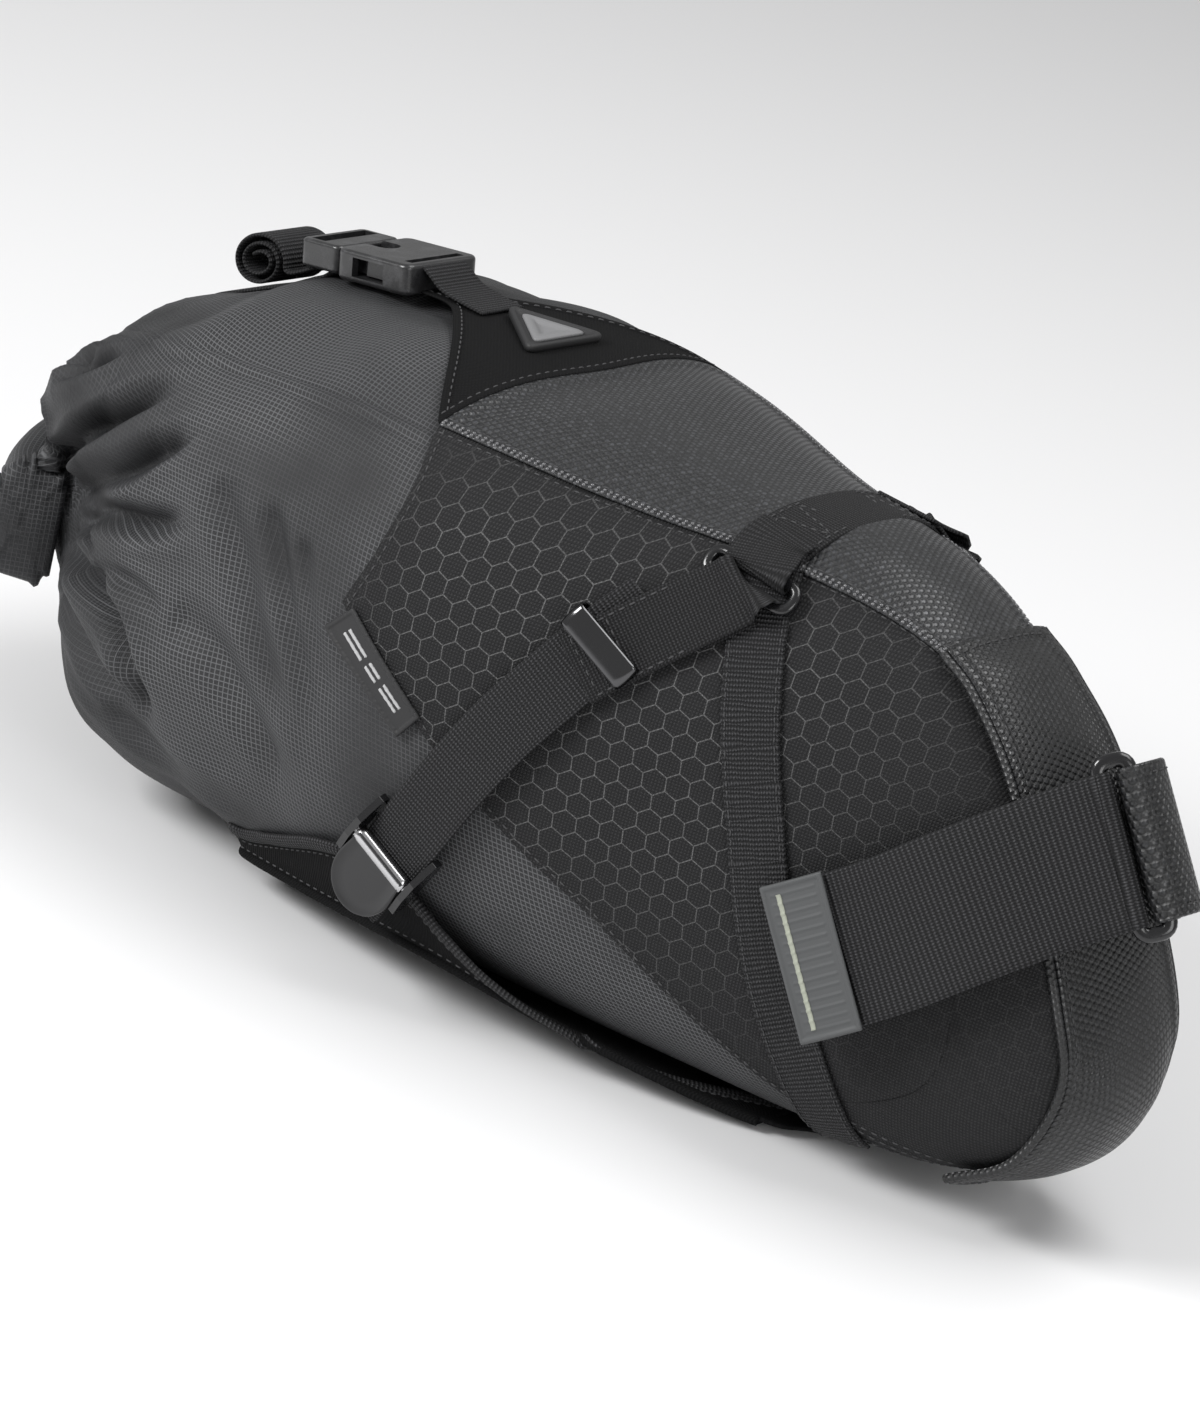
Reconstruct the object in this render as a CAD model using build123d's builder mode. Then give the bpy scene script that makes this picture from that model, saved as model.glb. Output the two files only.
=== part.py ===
from build123d import *
import os
from math import cos, sin, pi, radians, sqrt

# A bikepacking saddle bag, filled and closed. +X points forward to the seatpost, +Y to the
# rider's left, +Z up. The origin is on the flat resting face under the bag's sling.
# "right" pieces are on the -Y side; left ones are their mirror images. Millimetres.

os.makedirs("parts", exist_ok=True)

# ---- driving dimensions: the filled bag ----
# The bag is described by upright oval sections from the rear to the nose, each one:
# x, height of the centre, half height, half width, lean back in degrees, squareness.
SECTIONS = [
    (-230, 103, 32, 38, 0, 2.6),
    (-205, 97, 63, 76, 0, 2.9),
    (-152, 98, 92, 104, 0, 3.1),
    (-87, 103, 97, 106, 3, 3.0),
    (-11, 102, 97, 100, 8, 3.1),
    (64, 101, 97, 75, 14, 3.4),
    (135, 103, 97, 51, 20, 3.5),
    (185, 105, 80, 37, 28, 3.5),
    (208, 107, 47, 28, 32, 3.0),
]
STEPS = 3                 # hull rings per interval between two sections
RING_POINTS = 24          # points around each ring

# ---- driving dimensions: fabric and webbing ----
PANEL_LAYER = (0.5, 1.6)  # sewn panels lie between these distances from the bag
SEWN_LAYER = (2.0, 3.2)   # webbing sewn over the panels
FREE_LAYER = (3.8, 5.2)   # straps that run free over the sewn webbing
WEBBING = 25.0
SIDE_WEBBING = 20.0
YOKE_WEBBING = 21.0
POST_WEBBING = 50.0
SEAM_GAP = 0.5

# ---- driving dimensions: seatpost loop ----
POST_LEAN = 36.0          # the seatpost axis leans back from upright by this angle
POST_RADIUS = 13.6        # a 27.2 mm seatpost
STRAP_ORIGIN = (150, 0, 84)
POST_CENTRE = 84.0        # from the strap origin along the strap to the seatpost axis
RING_CENTRE = (95.0, -14.5)
RING_TILT = 42.0
RING_OUTER = (13.6, 60.0)
RING_INNER = (6.4, 52.0)
RING_THICK = 3.6
BAND_THICK = 2.2

# ---- driving dimensions: closures and buckles ----
ROLL_REAR = -252.0        # centre of the rolled closure at the middle of the bag
ROLL_SPAN = 88.0          # half its length across the bag
ROLL_SAGITTA = 39.0       # its ends lie this far ahead of its middle
ROLL_SECTION = (24.0, 48.0)
ROLL_HEIGHT = 88.0
BUCKLE_PITCH = 10.0
PIN_RADIUS = 1.5
PIN_RUNNING = 0.08        # radial running clearance of the cam lever on its pin


# ---- the bag's outer form ----
def section_at(s):
    """The section at a fractional index, on a smooth curve through the listed ones."""
    i = min(int(s), len(SECTIONS) - 2)
    t = s - i
    before = SECTIONS[max(i - 1, 0)]
    a = SECTIONS[i]
    b = SECTIONS[i + 1]
    after = SECTIONS[min(i + 2, len(SECTIONS) - 1)]
    values = []
    for p, q, r, u in zip(before, a, b, after):
        slope_a = (r - p) / 2
        slope_b = (u - q) / 2
        values.append(
            q * (2 * t**3 - 3 * t**2 + 1)
            + slope_a * (t**3 - 2 * t**2 + t)
            + r * (3 * t**2 - 2 * t**3)
            + slope_b * (t**3 - t**2)
        )
    return values


def oval_point(half_w, half_h, squareness, angle):
    """A point on a superellipse, at an angle in radians."""
    c = cos(angle)
    s = sin(angle)
    power = 2 / squareness
    y = half_w * abs(c) ** power * (1 if c >= 0 else -1)
    z = half_h * abs(s) ** power * (1 if s >= 0 else -1)
    return (y, z)


def hull(grow):
    """The filled bag as one solid, its surface moved outward by grow."""
    last = len(SECTIONS) - 1
    rings = [i / STEPS for i in range(last * STEPS + 1)]
    with BuildPart() as body:
        for s in rings:
            x, z, half_h, half_w, lean, squareness = section_at(s)
            tilt = radians(lean)
            push = -grow if s == 0 else (grow if s == last else 0)
            plane = Plane(
                origin=(x + push * cos(tilt), 0, z + push * sin(tilt)),
                x_dir=(0, 1, 0),
                z_dir=(cos(tilt), 0, sin(tilt)),
            )
            points = [
                oval_point(half_w + grow, half_h + grow, squareness, 2 * pi * k / RING_POINTS)
                for k in range(RING_POINTS)
            ]
            with BuildSketch(plane):
                with BuildLine():
                    Spline(*points, periodic=True)
                make_face()
        loft(ruled=True)
    return body.part


def layer(limits):
    """A skin of even thickness around the bag between two distances from it."""
    return hull(limits[1]) - hull(limits[0])


def half_width(x, z):
    """Half the bag's width at a place along it and a height above the base."""
    best_error = 1e9
    width = 0
    for i in range(40 * (len(SECTIONS) - 1) + 1):
        xc, zc, half_h, half_w, lean, squareness = section_at(i / 40)
        rise = (z - zc) / cos(radians(lean))
        error = abs(xc - rise * sin(radians(lean)) - x)
        if error < best_error and abs(rise) < half_h:
            best_error = error
            width = half_w * (1 - abs(rise / half_h) ** squareness) ** (1 / squareness)
    return width


def save(piece, name):
    """Labels a finished piece and writes it as one STEP file."""
    piece.label = name
    export_step(piece, f"parts/{name}.step")


def save_pair(piece, name):
    """Writes the right-hand piece and its mirror image on the left."""
    save(piece, name + "_right")
    save(mirror(piece, about=Plane.XZ), name + "_left")


main_bag = hull(0)
save(main_bag, "main_bag")
panel_skin = layer(PANEL_LAYER)
sewn_skin = layer(SEWN_LAYER)
free_skin = layer(FREE_LAYER)

# ---- outlines shared by neighbouring panels ----
TOP_SEAM = [(-46, 70), (0, 60), (30, 51), (64, 41), (100, 34), (141, 24)]
GUSSET_HALF = 24.0
GUSSET_REAR = 141.0
ABOVE = 130.0


def side_area(points, depth=160.0):
    """An upright slab over the right half of the bag, with its outline in X and Z."""
    with BuildPart() as slab:
        with BuildSketch(Plane.XZ):
            with BuildLine():
                Polyline(*points, close=True)
            make_face()
        extrude(amount=depth)
    return slab.part


def block(low, high):
    """A plain block between two opposite corners, for cutting."""
    size = [b - a for a, b in zip(low, high)]
    centre = [(a + b) / 2 for a, b in zip(low, high)]
    return Pos(*centre) * Box(*size, mode=Mode.PRIVATE)


def top_area(points):
    """An upright column above the bag's waist, with its outline in X and Y."""
    with BuildPart() as column:
        with BuildSketch(Plane.XY.offset(ABOVE)):
            with BuildLine():
                Polyline(*points, close=True)
            make_face()
        extrude(amount=100)
    return column.part


# ---- top: yoke, coated top panel, badge ----
YOKE_FRONT = -48.0
with BuildPart() as top_yoke:
    add(panel_skin)
    add(top_area([
        (-122, -11), (-104, -11), (YOKE_FRONT, -71), (YOKE_FRONT, 71), (-104, 11), (-122, 11),
    ]), mode=Mode.INTERSECT)
save(top_yoke.part, "top_yoke")

top_outline = [(x, -y) for x, y in TOP_SEAM] + [(x, y) for x, y in reversed(TOP_SEAM)]
with BuildPart() as top_panel:
    add(panel_skin)
    add(top_area(top_outline), mode=Mode.INTERSECT)
save(top_panel.part, "top_panel")

badge_plane = Plane(origin=(-76, 0, 202.1), x_dir=(1, 0, 0), z_dir=(0.01, 0, 1))
with BuildPart() as badge:
    with BuildSketch(badge_plane):
        with BuildLine():
            Polyline((-18, 0), (10, 19), (10, -19), close=True)
        make_face()
        fillet(vertices(), 2.5)
    extrude(amount=2.2)
    fillet(faces().sort_by(Axis.Z)[-1].edges(), 0.6)
    with BuildSketch(badge_plane.offset(2.2)):
        with BuildLine():
            Polyline((-10, 0), (6.5, 11), (6.5, -11), close=True)
        make_face()
        fillet(vertices(), 1.2)
    extrude(amount=0.6)
save(badge.part, "badge")

# ---- nose gusset and its piping ----
with BuildPart() as gusset_cut:
    with BuildSketch(Plane.XZ.offset(-GUSSET_HALF)):
        with BuildLine():
            Polyline((GUSSET_REAR + SEAM_GAP, 230), (GUSSET_REAR + SEAM_GAP, -20),
                     (300, -20), (300, 230), close=True)
        make_face()
    extrude(amount=2 * GUSSET_HALF)
with BuildPart() as nose_gusset:
    add(panel_skin)
    add(gusset_cut.part, mode=Mode.INTERSECT)
save(nose_gusset.part, "nose_gusset")

with BuildPart() as nose_piping:
    add(sewn_skin)
    add(block((150, -GUSSET_HALF - 1.5, 2), (300, -GUSSET_HALF + 1.5, 92)), mode=Mode.INTERSECT)
save_pair(nose_piping.part, "nose_piping")

# ---- side panels, with their sewn straps and tags ----
SIDE_REAR = -42.0
side_outline = [
    (SIDE_REAR, 230), (SIDE_REAR, 131), (3, 97), (25, 84), (57, 56), (89, 34),
    (123, 13), (150, 3), (260, 3), (260, 230),
]
grown_top = [(x - SEAM_GAP if x < 0 else x, y + SEAM_GAP) for x, y in TOP_SEAM]
grown_outline = [(x, -y) for x, y in grown_top] + [(x, y) for x, y in reversed(grown_top)]
with BuildPart() as side_panel:
    add(panel_skin)
    add(side_area(side_outline), mode=Mode.INTERSECT)
    add(top_area(grown_outline), mode=Mode.SUBTRACT)
    add(block((GUSSET_REAR - 1, -GUSSET_HALF - SEAM_GAP, -20), (300, 90, 230)), mode=Mode.SUBTRACT)
save_pair(side_panel.part, "side_panel")

STRAP_TOP = (81, 176)
STRAP_FOOT = (155, 14)


def strip(start, end, width):
    """The four corners of a straight strip between two points."""
    dx = end[0] - start[0]
    dz = end[1] - start[1]
    length = sqrt(dx * dx + dz * dz)
    nx = -dz / length * width / 2
    nz = dx / length * width / 2
    return [
        (start[0] + nx, start[1] + nz), (end[0] + nx, end[1] + nz),
        (end[0] - nx, end[1] - nz), (start[0] - nx, start[1] - nz),
    ]


with BuildPart() as side_strap:
    add(sewn_skin)
    add(side_area(strip(STRAP_TOP, STRAP_FOOT, SIDE_WEBBING)), mode=Mode.INTERSECT)
save_pair(side_strap.part, "side_strap")

with BuildPart() as side_tag:
    add(panel_skin)
    add(side_area(strip((-43, 126.5), (-4, 98), 12)), mode=Mode.INTERSECT)
    add(side_area(side_outline), mode=Mode.SUBTRACT)
save_pair(side_tag.part, "side_tag")

CROSS_X = (61.5, 86.5)
CROSS_HALF = 38.0
with BuildPart() as crosspiece:
    add(sewn_skin)
    add(block((CROSS_X[0], -CROSS_HALF, 150), (CROSS_X[1], CROSS_HALF, 230)), mode=Mode.INTERSECT)
save(crosspiece.part, "crosspiece")

# ---- free straps from the rail rings to the cam buckles ----
STRAP_PATH = [(65.5, 172), (45, 150), (24, 114), (5.5, 73)]
rail_outline = strip(STRAP_PATH[0], STRAP_PATH[1], WEBBING)
lower_outline = strip(STRAP_PATH[2], STRAP_PATH[3], WEBBING)
with BuildPart() as rail_strap:
    add(free_skin)
    add(side_area(rail_outline), mode=Mode.INTERSECT)
save_pair(rail_strap.part, "rail_strap")

tail_outline = [(x - SEAM_GAP, z - SEAM_GAP) for x, z in rail_outline[1:3]]
tail_outline = tail_outline[:1] + lower_outline + tail_outline[1:]
with BuildPart() as tail_strap:
    add(free_skin)
    add(side_area(tail_outline), mode=Mode.INTERSECT)
save_pair(tail_strap.part, "tail_strap")


def surface_plane(point, outward, along):
    """A plane on the bag's right side: X along the strap, Z straight out of the bag."""
    normal = Vector(*outward).normalized()
    run = Vector(*along)
    run = (run - normal * run.dot(normal)).normalized()
    return Plane(origin=point, x_dir=run, z_dir=normal)


# ---- keeper clips that slide on the straps ----
CLIP_POINT = (37.2, -half_width(38.0, 138.0), 138.5)
clip_plane = surface_plane(CLIP_POINT, (0.36, -0.90, 0.22), (21, 0, 36))
CLIP_LENGTH = 9.0
CLIP_OUTSIDE = (1.9, 7.5)   # the clip's inner and outer faces above the bag
CLIP_WINDOW = (2.35, 6.6)   # the slot that the strap runs through
with BuildPart() as keeper_clip:
    with BuildSketch(clip_plane.offset(CLIP_OUTSIDE[0])):
        RectangleRounded(CLIP_LENGTH, WEBBING + 5.8, 1.5)
    extrude(amount=CLIP_OUTSIDE[1] - CLIP_OUTSIDE[0])
    with BuildSketch(clip_plane.offset(CLIP_WINDOW[0])):
        Rectangle(CLIP_LENGTH + 2, WEBBING + 2.4)
    extrude(amount=CLIP_WINDOW[1] - CLIP_WINDOW[0], mode=Mode.SUBTRACT)
    fillet(edges().filter_by(GeomType.LINE).group_by(SortBy.LENGTH)[-1], 0.4)
save_pair(keeper_clip.part, "keeper_clip")

# ---- cam buckles at the strap ends ----
BUCKLE_POINT = (-2.5, -half_width(-2.5, 58.0), 58.0)
cam_plane = surface_plane(BUCKLE_POINT, (0.14, -0.985, -0.06), (30, 0, 53))
PLATE_IN = 13.0
PLATE_OUT = 15.4
PIN_X = -3.0
PIN_Z = 8.0
BAR_X = -12.0
BAR_Z = 6.0
BAR_RADIUS = 1.4


def across(plane, x, z, radius, half_length):
    """A round bar across a buckle, at a place along it and above its plane."""
    bar = Cylinder(radius, 2 * half_length, mode=Mode.PRIVATE)
    return plane.location * Location((x, 0, z)) * Rot(90, 0, 0) * bar


with BuildPart() as cam_frame:
    for side in (-1, 1):
        with BuildSketch(Plane(
            origin=cam_plane.from_local_coords((0, side * (PLATE_IN + PLATE_OUT) / 2, 0)),
            x_dir=cam_plane.x_dir, z_dir=-cam_plane.y_dir,
        )):
            with BuildLine():
                Polyline((-14, 3.6), (-14, 8.6), (-6, 10.6), (2, 10.6), (12, 6.8), (12, 3),
                         (9, 2.4), (-8, 2.4), close=True)
            make_face()
            fillet(vertices(), 0.8)
        extrude(amount=(PLATE_OUT - PLATE_IN) / 2, both=True)
    with BuildSketch(cam_plane.offset(2.4)):
        with Locations((6, 0)):
            Rectangle(7, 2 * PLATE_IN + 1)
    extrude(amount=1.0)
    add(across(cam_plane, BAR_X, BAR_Z, BAR_RADIUS, PLATE_IN + 1))
    add(across(cam_plane, PIN_X, PIN_Z, PIN_RADIUS + 0.02, PLATE_OUT + 2), mode=Mode.SUBTRACT)
save_pair(cam_frame.part, "cam_frame")

cam_pin = across(cam_plane, PIN_X, PIN_Z, PIN_RADIUS, PLATE_OUT)
save_pair(cam_pin, "cam_pin")

HUB_RADIUS = 3.0
TAB_LENGTH = 24.0
TAB_HALF = 12.4
with BuildPart() as cam_lever:
    add(across(cam_plane, PIN_X, PIN_Z, HUB_RADIUS, PLATE_IN - 0.5))
    with BuildSketch(cam_plane.offset(PIN_Z + 1.0)):
        with BuildLine():
            Line((PIN_X, TAB_HALF), (PIN_X, -TAB_HALF))
            Line((PIN_X, -TAB_HALF), (PIN_X - 8, -TAB_HALF))
            ThreePointArc((PIN_X - 8, -TAB_HALF), (PIN_X - TAB_LENGTH, 0),
                          (PIN_X - 8, TAB_HALF))
            Line((PIN_X - 8, TAB_HALF), (PIN_X, TAB_HALF))
        make_face()
    extrude(amount=1.9)
    add(across(cam_plane, PIN_X, PIN_Z, PIN_RADIUS + PIN_RUNNING, PLATE_IN), mode=Mode.SUBTRACT)
save_pair(cam_lever.part, "cam_lever")

with BuildPart() as buckle_tab:
    add(across(cam_plane, BAR_X, BAR_Z, BAR_RADIUS + 1.6, 11))
    with BuildSketch(cam_plane.offset(3.2)):
        with Locations((BAR_X - 7, 0)):
            Rectangle(14, 22)
    extrude(amount=1.4)
    add(across(cam_plane, BAR_X, BAR_Z, BAR_RADIUS + 0.3, 14), mode=Mode.SUBTRACT)
save_pair(buckle_tab.part, "buckle_tab")

# ---- sling under the bag, its wings and its stiff base sheet ----
SLING_THICK = 2.4
SHEET_THICK = 1.2
footprint = [(-100, 70), (-40, 74), (20, 66), (80, 46), (138, 28)]


def mirrored(points):
    """A closed outline from its left half, listed rear to front."""
    return points + [(x, -y) for x, y in reversed(points)]


with BuildPart() as bottom_sling:
    with BuildSketch():
        with BuildLine():
            Polyline(*mirrored(footprint), close=True)
        make_face()
        fillet(vertices(), 8)
    extrude(amount=SLING_THICK)
save(bottom_sling.part, "bottom_sling")

with BuildPart() as base_sheet:
    with BuildSketch(Plane.XY.offset(SLING_THICK + 0.2)):
        with BuildLine():
            Polyline(*mirrored([(x * 0.94, y - 22) for x, y in footprint]), close=True)
        make_face()
    extrude(amount=SHEET_THICK)
save(base_sheet.part, "base_sheet")

wing_outline = [
    (-101, 6), (-99, 22), (-78, 26), (-36, 45), (-6, 45), (10, 40), (32, 26), (52, 18),
    (90, 14), (121, 8), (121, 6),
]
with BuildPart() as sling_wing:
    add(panel_skin)
    add(side_area(wing_outline), mode=Mode.INTERSECT)
    add(side_area(side_outline), mode=Mode.SUBTRACT)
wing_pieces = sorted(sling_wing.part.solids(), key=lambda s: s.volume)
save_pair(wing_pieces[-1], "sling_wing")

# ---- rail rings at the ends of the crosspiece ----
RAIL_RING = (37.0, 15.0)
RAIL_RING_THICK = 3.4
ring_plane = Plane(origin=(73.0, -47.6, 191.4), x_dir=(1, 0.1, -0.05), z_dir=(0.1, -0.66, 0.75))
with BuildPart() as rail_ring:
    with BuildSketch(ring_plane):
        RectangleRounded(RAIL_RING[0], RAIL_RING[1], 5)
        RectangleRounded(RAIL_RING[0] - 8, RAIL_RING[1] - 7.5, 2.4, mode=Mode.SUBTRACT)
    extrude(amount=RAIL_RING_THICK)
    fillet(edges(), 1.1)
save_pair(rail_ring.part, "rail_ring")

# ---- seatpost strap: ring, pull strap with its label, coated band, hook patch ----
lean = radians(POST_LEAN)
strap_run = Vector(cos(lean), 0, sin(lean))
post_axis = Vector(-sin(lean), 0, cos(lean))
strap_plane = Plane(origin=STRAP_ORIGIN, x_dir=strap_run, z_dir=post_axis)
tilt = radians(RING_TILT)
ring_run = strap_run * cos(tilt) + Vector(0, 1, 0) * sin(tilt)
ring_origin = strap_plane.from_local_coords((RING_CENTRE[0], RING_CENTRE[1], 0))
post_ring_plane = Plane(origin=ring_origin, x_dir=ring_run, z_dir=ring_run.cross(post_axis))
with BuildPart() as post_ring:
    with BuildSketch(post_ring_plane):
        RectangleRounded(RING_OUTER[0], RING_OUTER[1], 3)
        RectangleRounded(RING_INNER[0], RING_INNER[1], 1.2, mode=Mode.SUBTRACT)
    extrude(amount=RING_THICK / 2, both=True)
    fillet(edges(), 1.1)
save(post_ring.part, "post_ring")

bar_offset = (RING_OUTER[0] + RING_INNER[0]) / 4
rear_bar = (RING_CENTRE[0] - bar_offset * cos(tilt), RING_CENTRE[1] - bar_offset * sin(tilt))
front_bar = (RING_CENTRE[0] + bar_offset * cos(tilt), RING_CENTRE[1] + bar_offset * sin(tilt))
LOOP_IN = 2.5
LOOP_OUT = 3.8
half_strap = POST_WEBBING / 2

pull_path = [
    (rear_bar[0], rear_bar[1] - (LOOP_IN + LOOP_OUT) / 2), (72, -31.5), (48, -47.5), (22, -55.5),
    (-4, -62.0), (-26, -65.5),
]
with BuildPart() as post_strap:
    with BuildSketch(strap_plane):
        with Locations(rear_bar):
            Circle(LOOP_OUT)
        with BuildLine():
            Spline(*pull_path)
        trace(line_width=LOOP_OUT - LOOP_IN)
        with Locations(rear_bar):
            Circle(LOOP_IN, mode=Mode.SUBTRACT)
    extrude(amount=half_strap, both=True)
save(post_strap.part, "post_strap")

with BuildPart() as pull_label:
    with BuildSketch(strap_plane):
        with BuildLine():
            Polyline((-26, -67.5), (-4, -64))
        trace(line_width=1.0)
    extrude(amount=half_strap + 0.5, both=True)
save(pull_label.part, "pull_label")

BAND_MID = POST_RADIUS + BAND_THICK / 2
arc_start = radians(-33)
arc_end = radians(100)
band_entry = (POST_CENTRE + BAND_MID * cos(arc_start), BAND_MID * sin(arc_start))
band_middle = (POST_CENTRE + BAND_MID * cos(radians(44)), BAND_MID * sin(radians(44)))
band_exit = (POST_CENTRE + BAND_MID * cos(arc_end), BAND_MID * sin(arc_end))
with BuildPart() as post_band:
    with BuildSketch(strap_plane):
        with Locations(front_bar):
            Circle(LOOP_IN + BAND_THICK)
        with BuildLine():
            ThreePointArc(band_entry, band_middle, band_exit)
        trace(line_width=BAND_THICK)
        with BuildLine():
            Spline(band_exit, (70, 27), (58, 38), (44, 46), (24, 53), (2, 59.5),
                   tangents=[(-sin(arc_end), cos(arc_end)), (-1, 0.3)])
        trace(line_width=BAND_THICK)
        with Locations((POST_CENTRE, 0)):
            Circle(POST_RADIUS, mode=Mode.SUBTRACT)
        with Locations(front_bar):
            Circle(LOOP_IN, mode=Mode.SUBTRACT)
    extrude(amount=half_strap, both=True)
save(post_band.part, "post_band")

# ---- rolled closure with its stiffener, turned about an upright axis ----
ROLL_ARC = (ROLL_SPAN**2 + ROLL_SAGITTA**2) / (2 * ROLL_SAGITTA)
ROLL_AXIS_X = ROLL_REAR + ROLL_ARC
ROLL_ANGLE = 2 * 47.8
roll_axis = Axis((ROLL_AXIS_X, 0, 0), (0, 0, 1))


def roll_band(width, height, corner):
    """A band of rounded section bent round the rear of the bag."""
    with BuildPart() as band:
        with BuildSketch(Plane.XZ):
            with Locations((ROLL_REAR, ROLL_HEIGHT)):
                RectangleRounded(width, height, corner)
        revolve(axis=roll_axis, revolution_arc=ROLL_ANGLE)
    return band.part.rotate(roll_axis, -ROLL_ANGLE / 2)


with BuildPart() as roll_closure:
    add(roll_band(ROLL_SECTION[0], ROLL_SECTION[1], ROLL_SECTION[0] / 2 - 0.1))
    add(roll_band(3.2, 34.0, 1.0), mode=Mode.SUBTRACT)
save(roll_closure.part, "roll_closure")
save(roll_band(2.2, 33.0, 0.8), "roll_stiffener")

# ---- closure strap, its rolled-up end, and the side-release buckle ----
pitch = radians(BUCKLE_PITCH)
buckle_plane = Plane(
    origin=(-146, 0, 200.2), x_dir=(cos(pitch), 0, sin(pitch)), z_dir=(-sin(pitch), 0, cos(pitch)),
)
with BuildPart() as buckle_female:
    with BuildSketch(buckle_plane.offset(-5.5)):
        with Locations((9.5, 0)):
            RectangleRounded(35, 36, 4)
    extrude(amount=11)
    fillet(edges().filter_by(GeomType.LINE, reverse=True), 1.6)
    with BuildSketch(buckle_plane.offset(-3.4)):
        with Locations((4, 0)):
            Rectangle(28, 30)
    extrude(amount=6.8, mode=Mode.SUBTRACT)
    with BuildSketch(buckle_plane.offset(-3.4)):
        with Locations((8, 0)):
            RectangleRounded(15, 50, 3)
    extrude(amount=6.8, mode=Mode.SUBTRACT)
    with BuildSketch(buckle_plane.offset(-10)):
        with Locations((22.2, 0)):
            Rectangle(3.6, 26)
    extrude(amount=20, mode=Mode.SUBTRACT)
    with BuildSketch(buckle_plane.offset(3)):
        with Locations((-5, 0)):
            SlotCenterToCenter(9, 9)
    extrude(amount=10, mode=Mode.SUBTRACT)
save(buckle_female.part, "buckle_female")

PRONG_ROOT = (-6.4, -10.4)
PRONG_KNUCKLE = 2.2
with BuildPart() as buckle_male:
    with BuildSketch(buckle_plane.offset(-5)):
        with Locations((-18.5, 0)):
            RectangleRounded(19, 31, 3)
    extrude(amount=10)
    fillet(edges().filter_by(GeomType.LINE, reverse=True), 1.4)
    with BuildSketch(buckle_plane.offset(-10)):
        with Locations((-21.5, 0)):
            Rectangle(6.5, 26)
    extrude(amount=20, mode=Mode.SUBTRACT)
    with BuildSketch(buckle_plane.offset(-2.9)):
        with Locations((0.5, 0)):
            Rectangle(24, 5)
        with Locations((-7.9, 0)):
            Rectangle(5, 28)
    extrude(amount=5.8)
    with BuildSketch(buckle_plane.offset(-6)):
        with Locations(PRONG_ROOT, (PRONG_ROOT[0], -PRONG_ROOT[1])):
            Circle(PRONG_KNUCKLE + 0.35)
    extrude(amount=12, mode=Mode.SUBTRACT)
    add(across(buckle_plane, -21.5, 0, 1.5, 14))
save(buckle_male.part, "buckle_male")

with BuildPart() as buckle_prong:
    with BuildSketch(buckle_plane.offset(-2.7)):
        with Locations(PRONG_ROOT):
            Circle(PRONG_KNUCKLE)
        with BuildLine():
            Polyline((-6.4, -8.4), (-6.4, -12.4), (2, -12.6), (4.5, -14.5), (13, -14.5),
                     (16, -12), (16, -9), (3, -8.6), close=True)
        make_face()
    extrude(amount=5.4)
save(buckle_prong.part, "buckle_prong_right")
save(mirror(buckle_prong.part, about=Plane.XZ), "buckle_prong_left")

with BuildPart() as yoke_webbing:
    with BuildSketch(Plane.XZ):
        with BuildLine():
            Spline((-117.2, 203.8), (-110, 202.2), (-104, 201.9), (-96, 202.3))
        trace(line_width=1.2)
    extrude(amount=YOKE_WEBBING / 2, both=True)
save(yoke_webbing.part, "yoke_webbing")

with BuildPart() as closure_strap:
    with BuildSketch(Plane.XZ):
        with BuildLine():
            Spline((-161, 190.8), (-170, 188.2), (-178, 182.5), (-188, 174.2), (-205, 164.5),
                   (-219, 155.5), (-228.5, 145), (-233, 132))
        trace(line_width=1.4)
    extrude(amount=WEBBING / 2, both=True)
save(closure_strap.part, "closure_strap")

COIL = (23.0, 18.0)
with BuildPart() as strap_coil:
    with BuildSketch(Plane(origin=(-192, 0, 185), x_dir=(0.88, 0, 0.47), z_dir=(0, -1, 0))):
        RectangleRounded(COIL[0], COIL[1], 7.5)
    extrude(amount=WEBBING / 2, both=True)
save(strap_coil.part, "strap_coil")
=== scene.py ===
import math

import bmesh
import bpy
import numpy as np
from mathutils import Matrix, Vector
from mathutils.bvhtree import BVHTree


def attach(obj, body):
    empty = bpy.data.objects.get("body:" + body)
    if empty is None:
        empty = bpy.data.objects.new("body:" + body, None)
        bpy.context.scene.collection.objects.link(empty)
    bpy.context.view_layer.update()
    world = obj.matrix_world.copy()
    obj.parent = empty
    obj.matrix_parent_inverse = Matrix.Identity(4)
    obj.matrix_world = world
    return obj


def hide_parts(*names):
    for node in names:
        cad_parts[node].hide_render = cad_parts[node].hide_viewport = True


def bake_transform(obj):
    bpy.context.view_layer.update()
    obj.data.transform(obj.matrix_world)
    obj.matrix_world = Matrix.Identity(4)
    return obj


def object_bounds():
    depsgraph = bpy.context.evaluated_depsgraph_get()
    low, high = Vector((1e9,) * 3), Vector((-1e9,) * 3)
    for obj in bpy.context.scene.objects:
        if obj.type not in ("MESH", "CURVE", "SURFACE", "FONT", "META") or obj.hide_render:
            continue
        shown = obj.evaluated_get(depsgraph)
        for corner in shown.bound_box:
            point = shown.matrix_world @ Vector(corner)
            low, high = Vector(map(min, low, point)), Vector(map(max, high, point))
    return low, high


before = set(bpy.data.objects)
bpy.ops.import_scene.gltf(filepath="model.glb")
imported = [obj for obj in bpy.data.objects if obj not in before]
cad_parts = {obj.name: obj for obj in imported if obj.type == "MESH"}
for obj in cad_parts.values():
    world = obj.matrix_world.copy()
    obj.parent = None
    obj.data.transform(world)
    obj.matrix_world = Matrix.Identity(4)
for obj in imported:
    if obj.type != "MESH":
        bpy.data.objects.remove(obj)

# A filled bikepacking saddle bag. Shapes are worked out in millimetres in the row frame and
# turned into metres as each mesh is made. "right" is the -Y side, which faces the camera.
MM = 0.001
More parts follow.
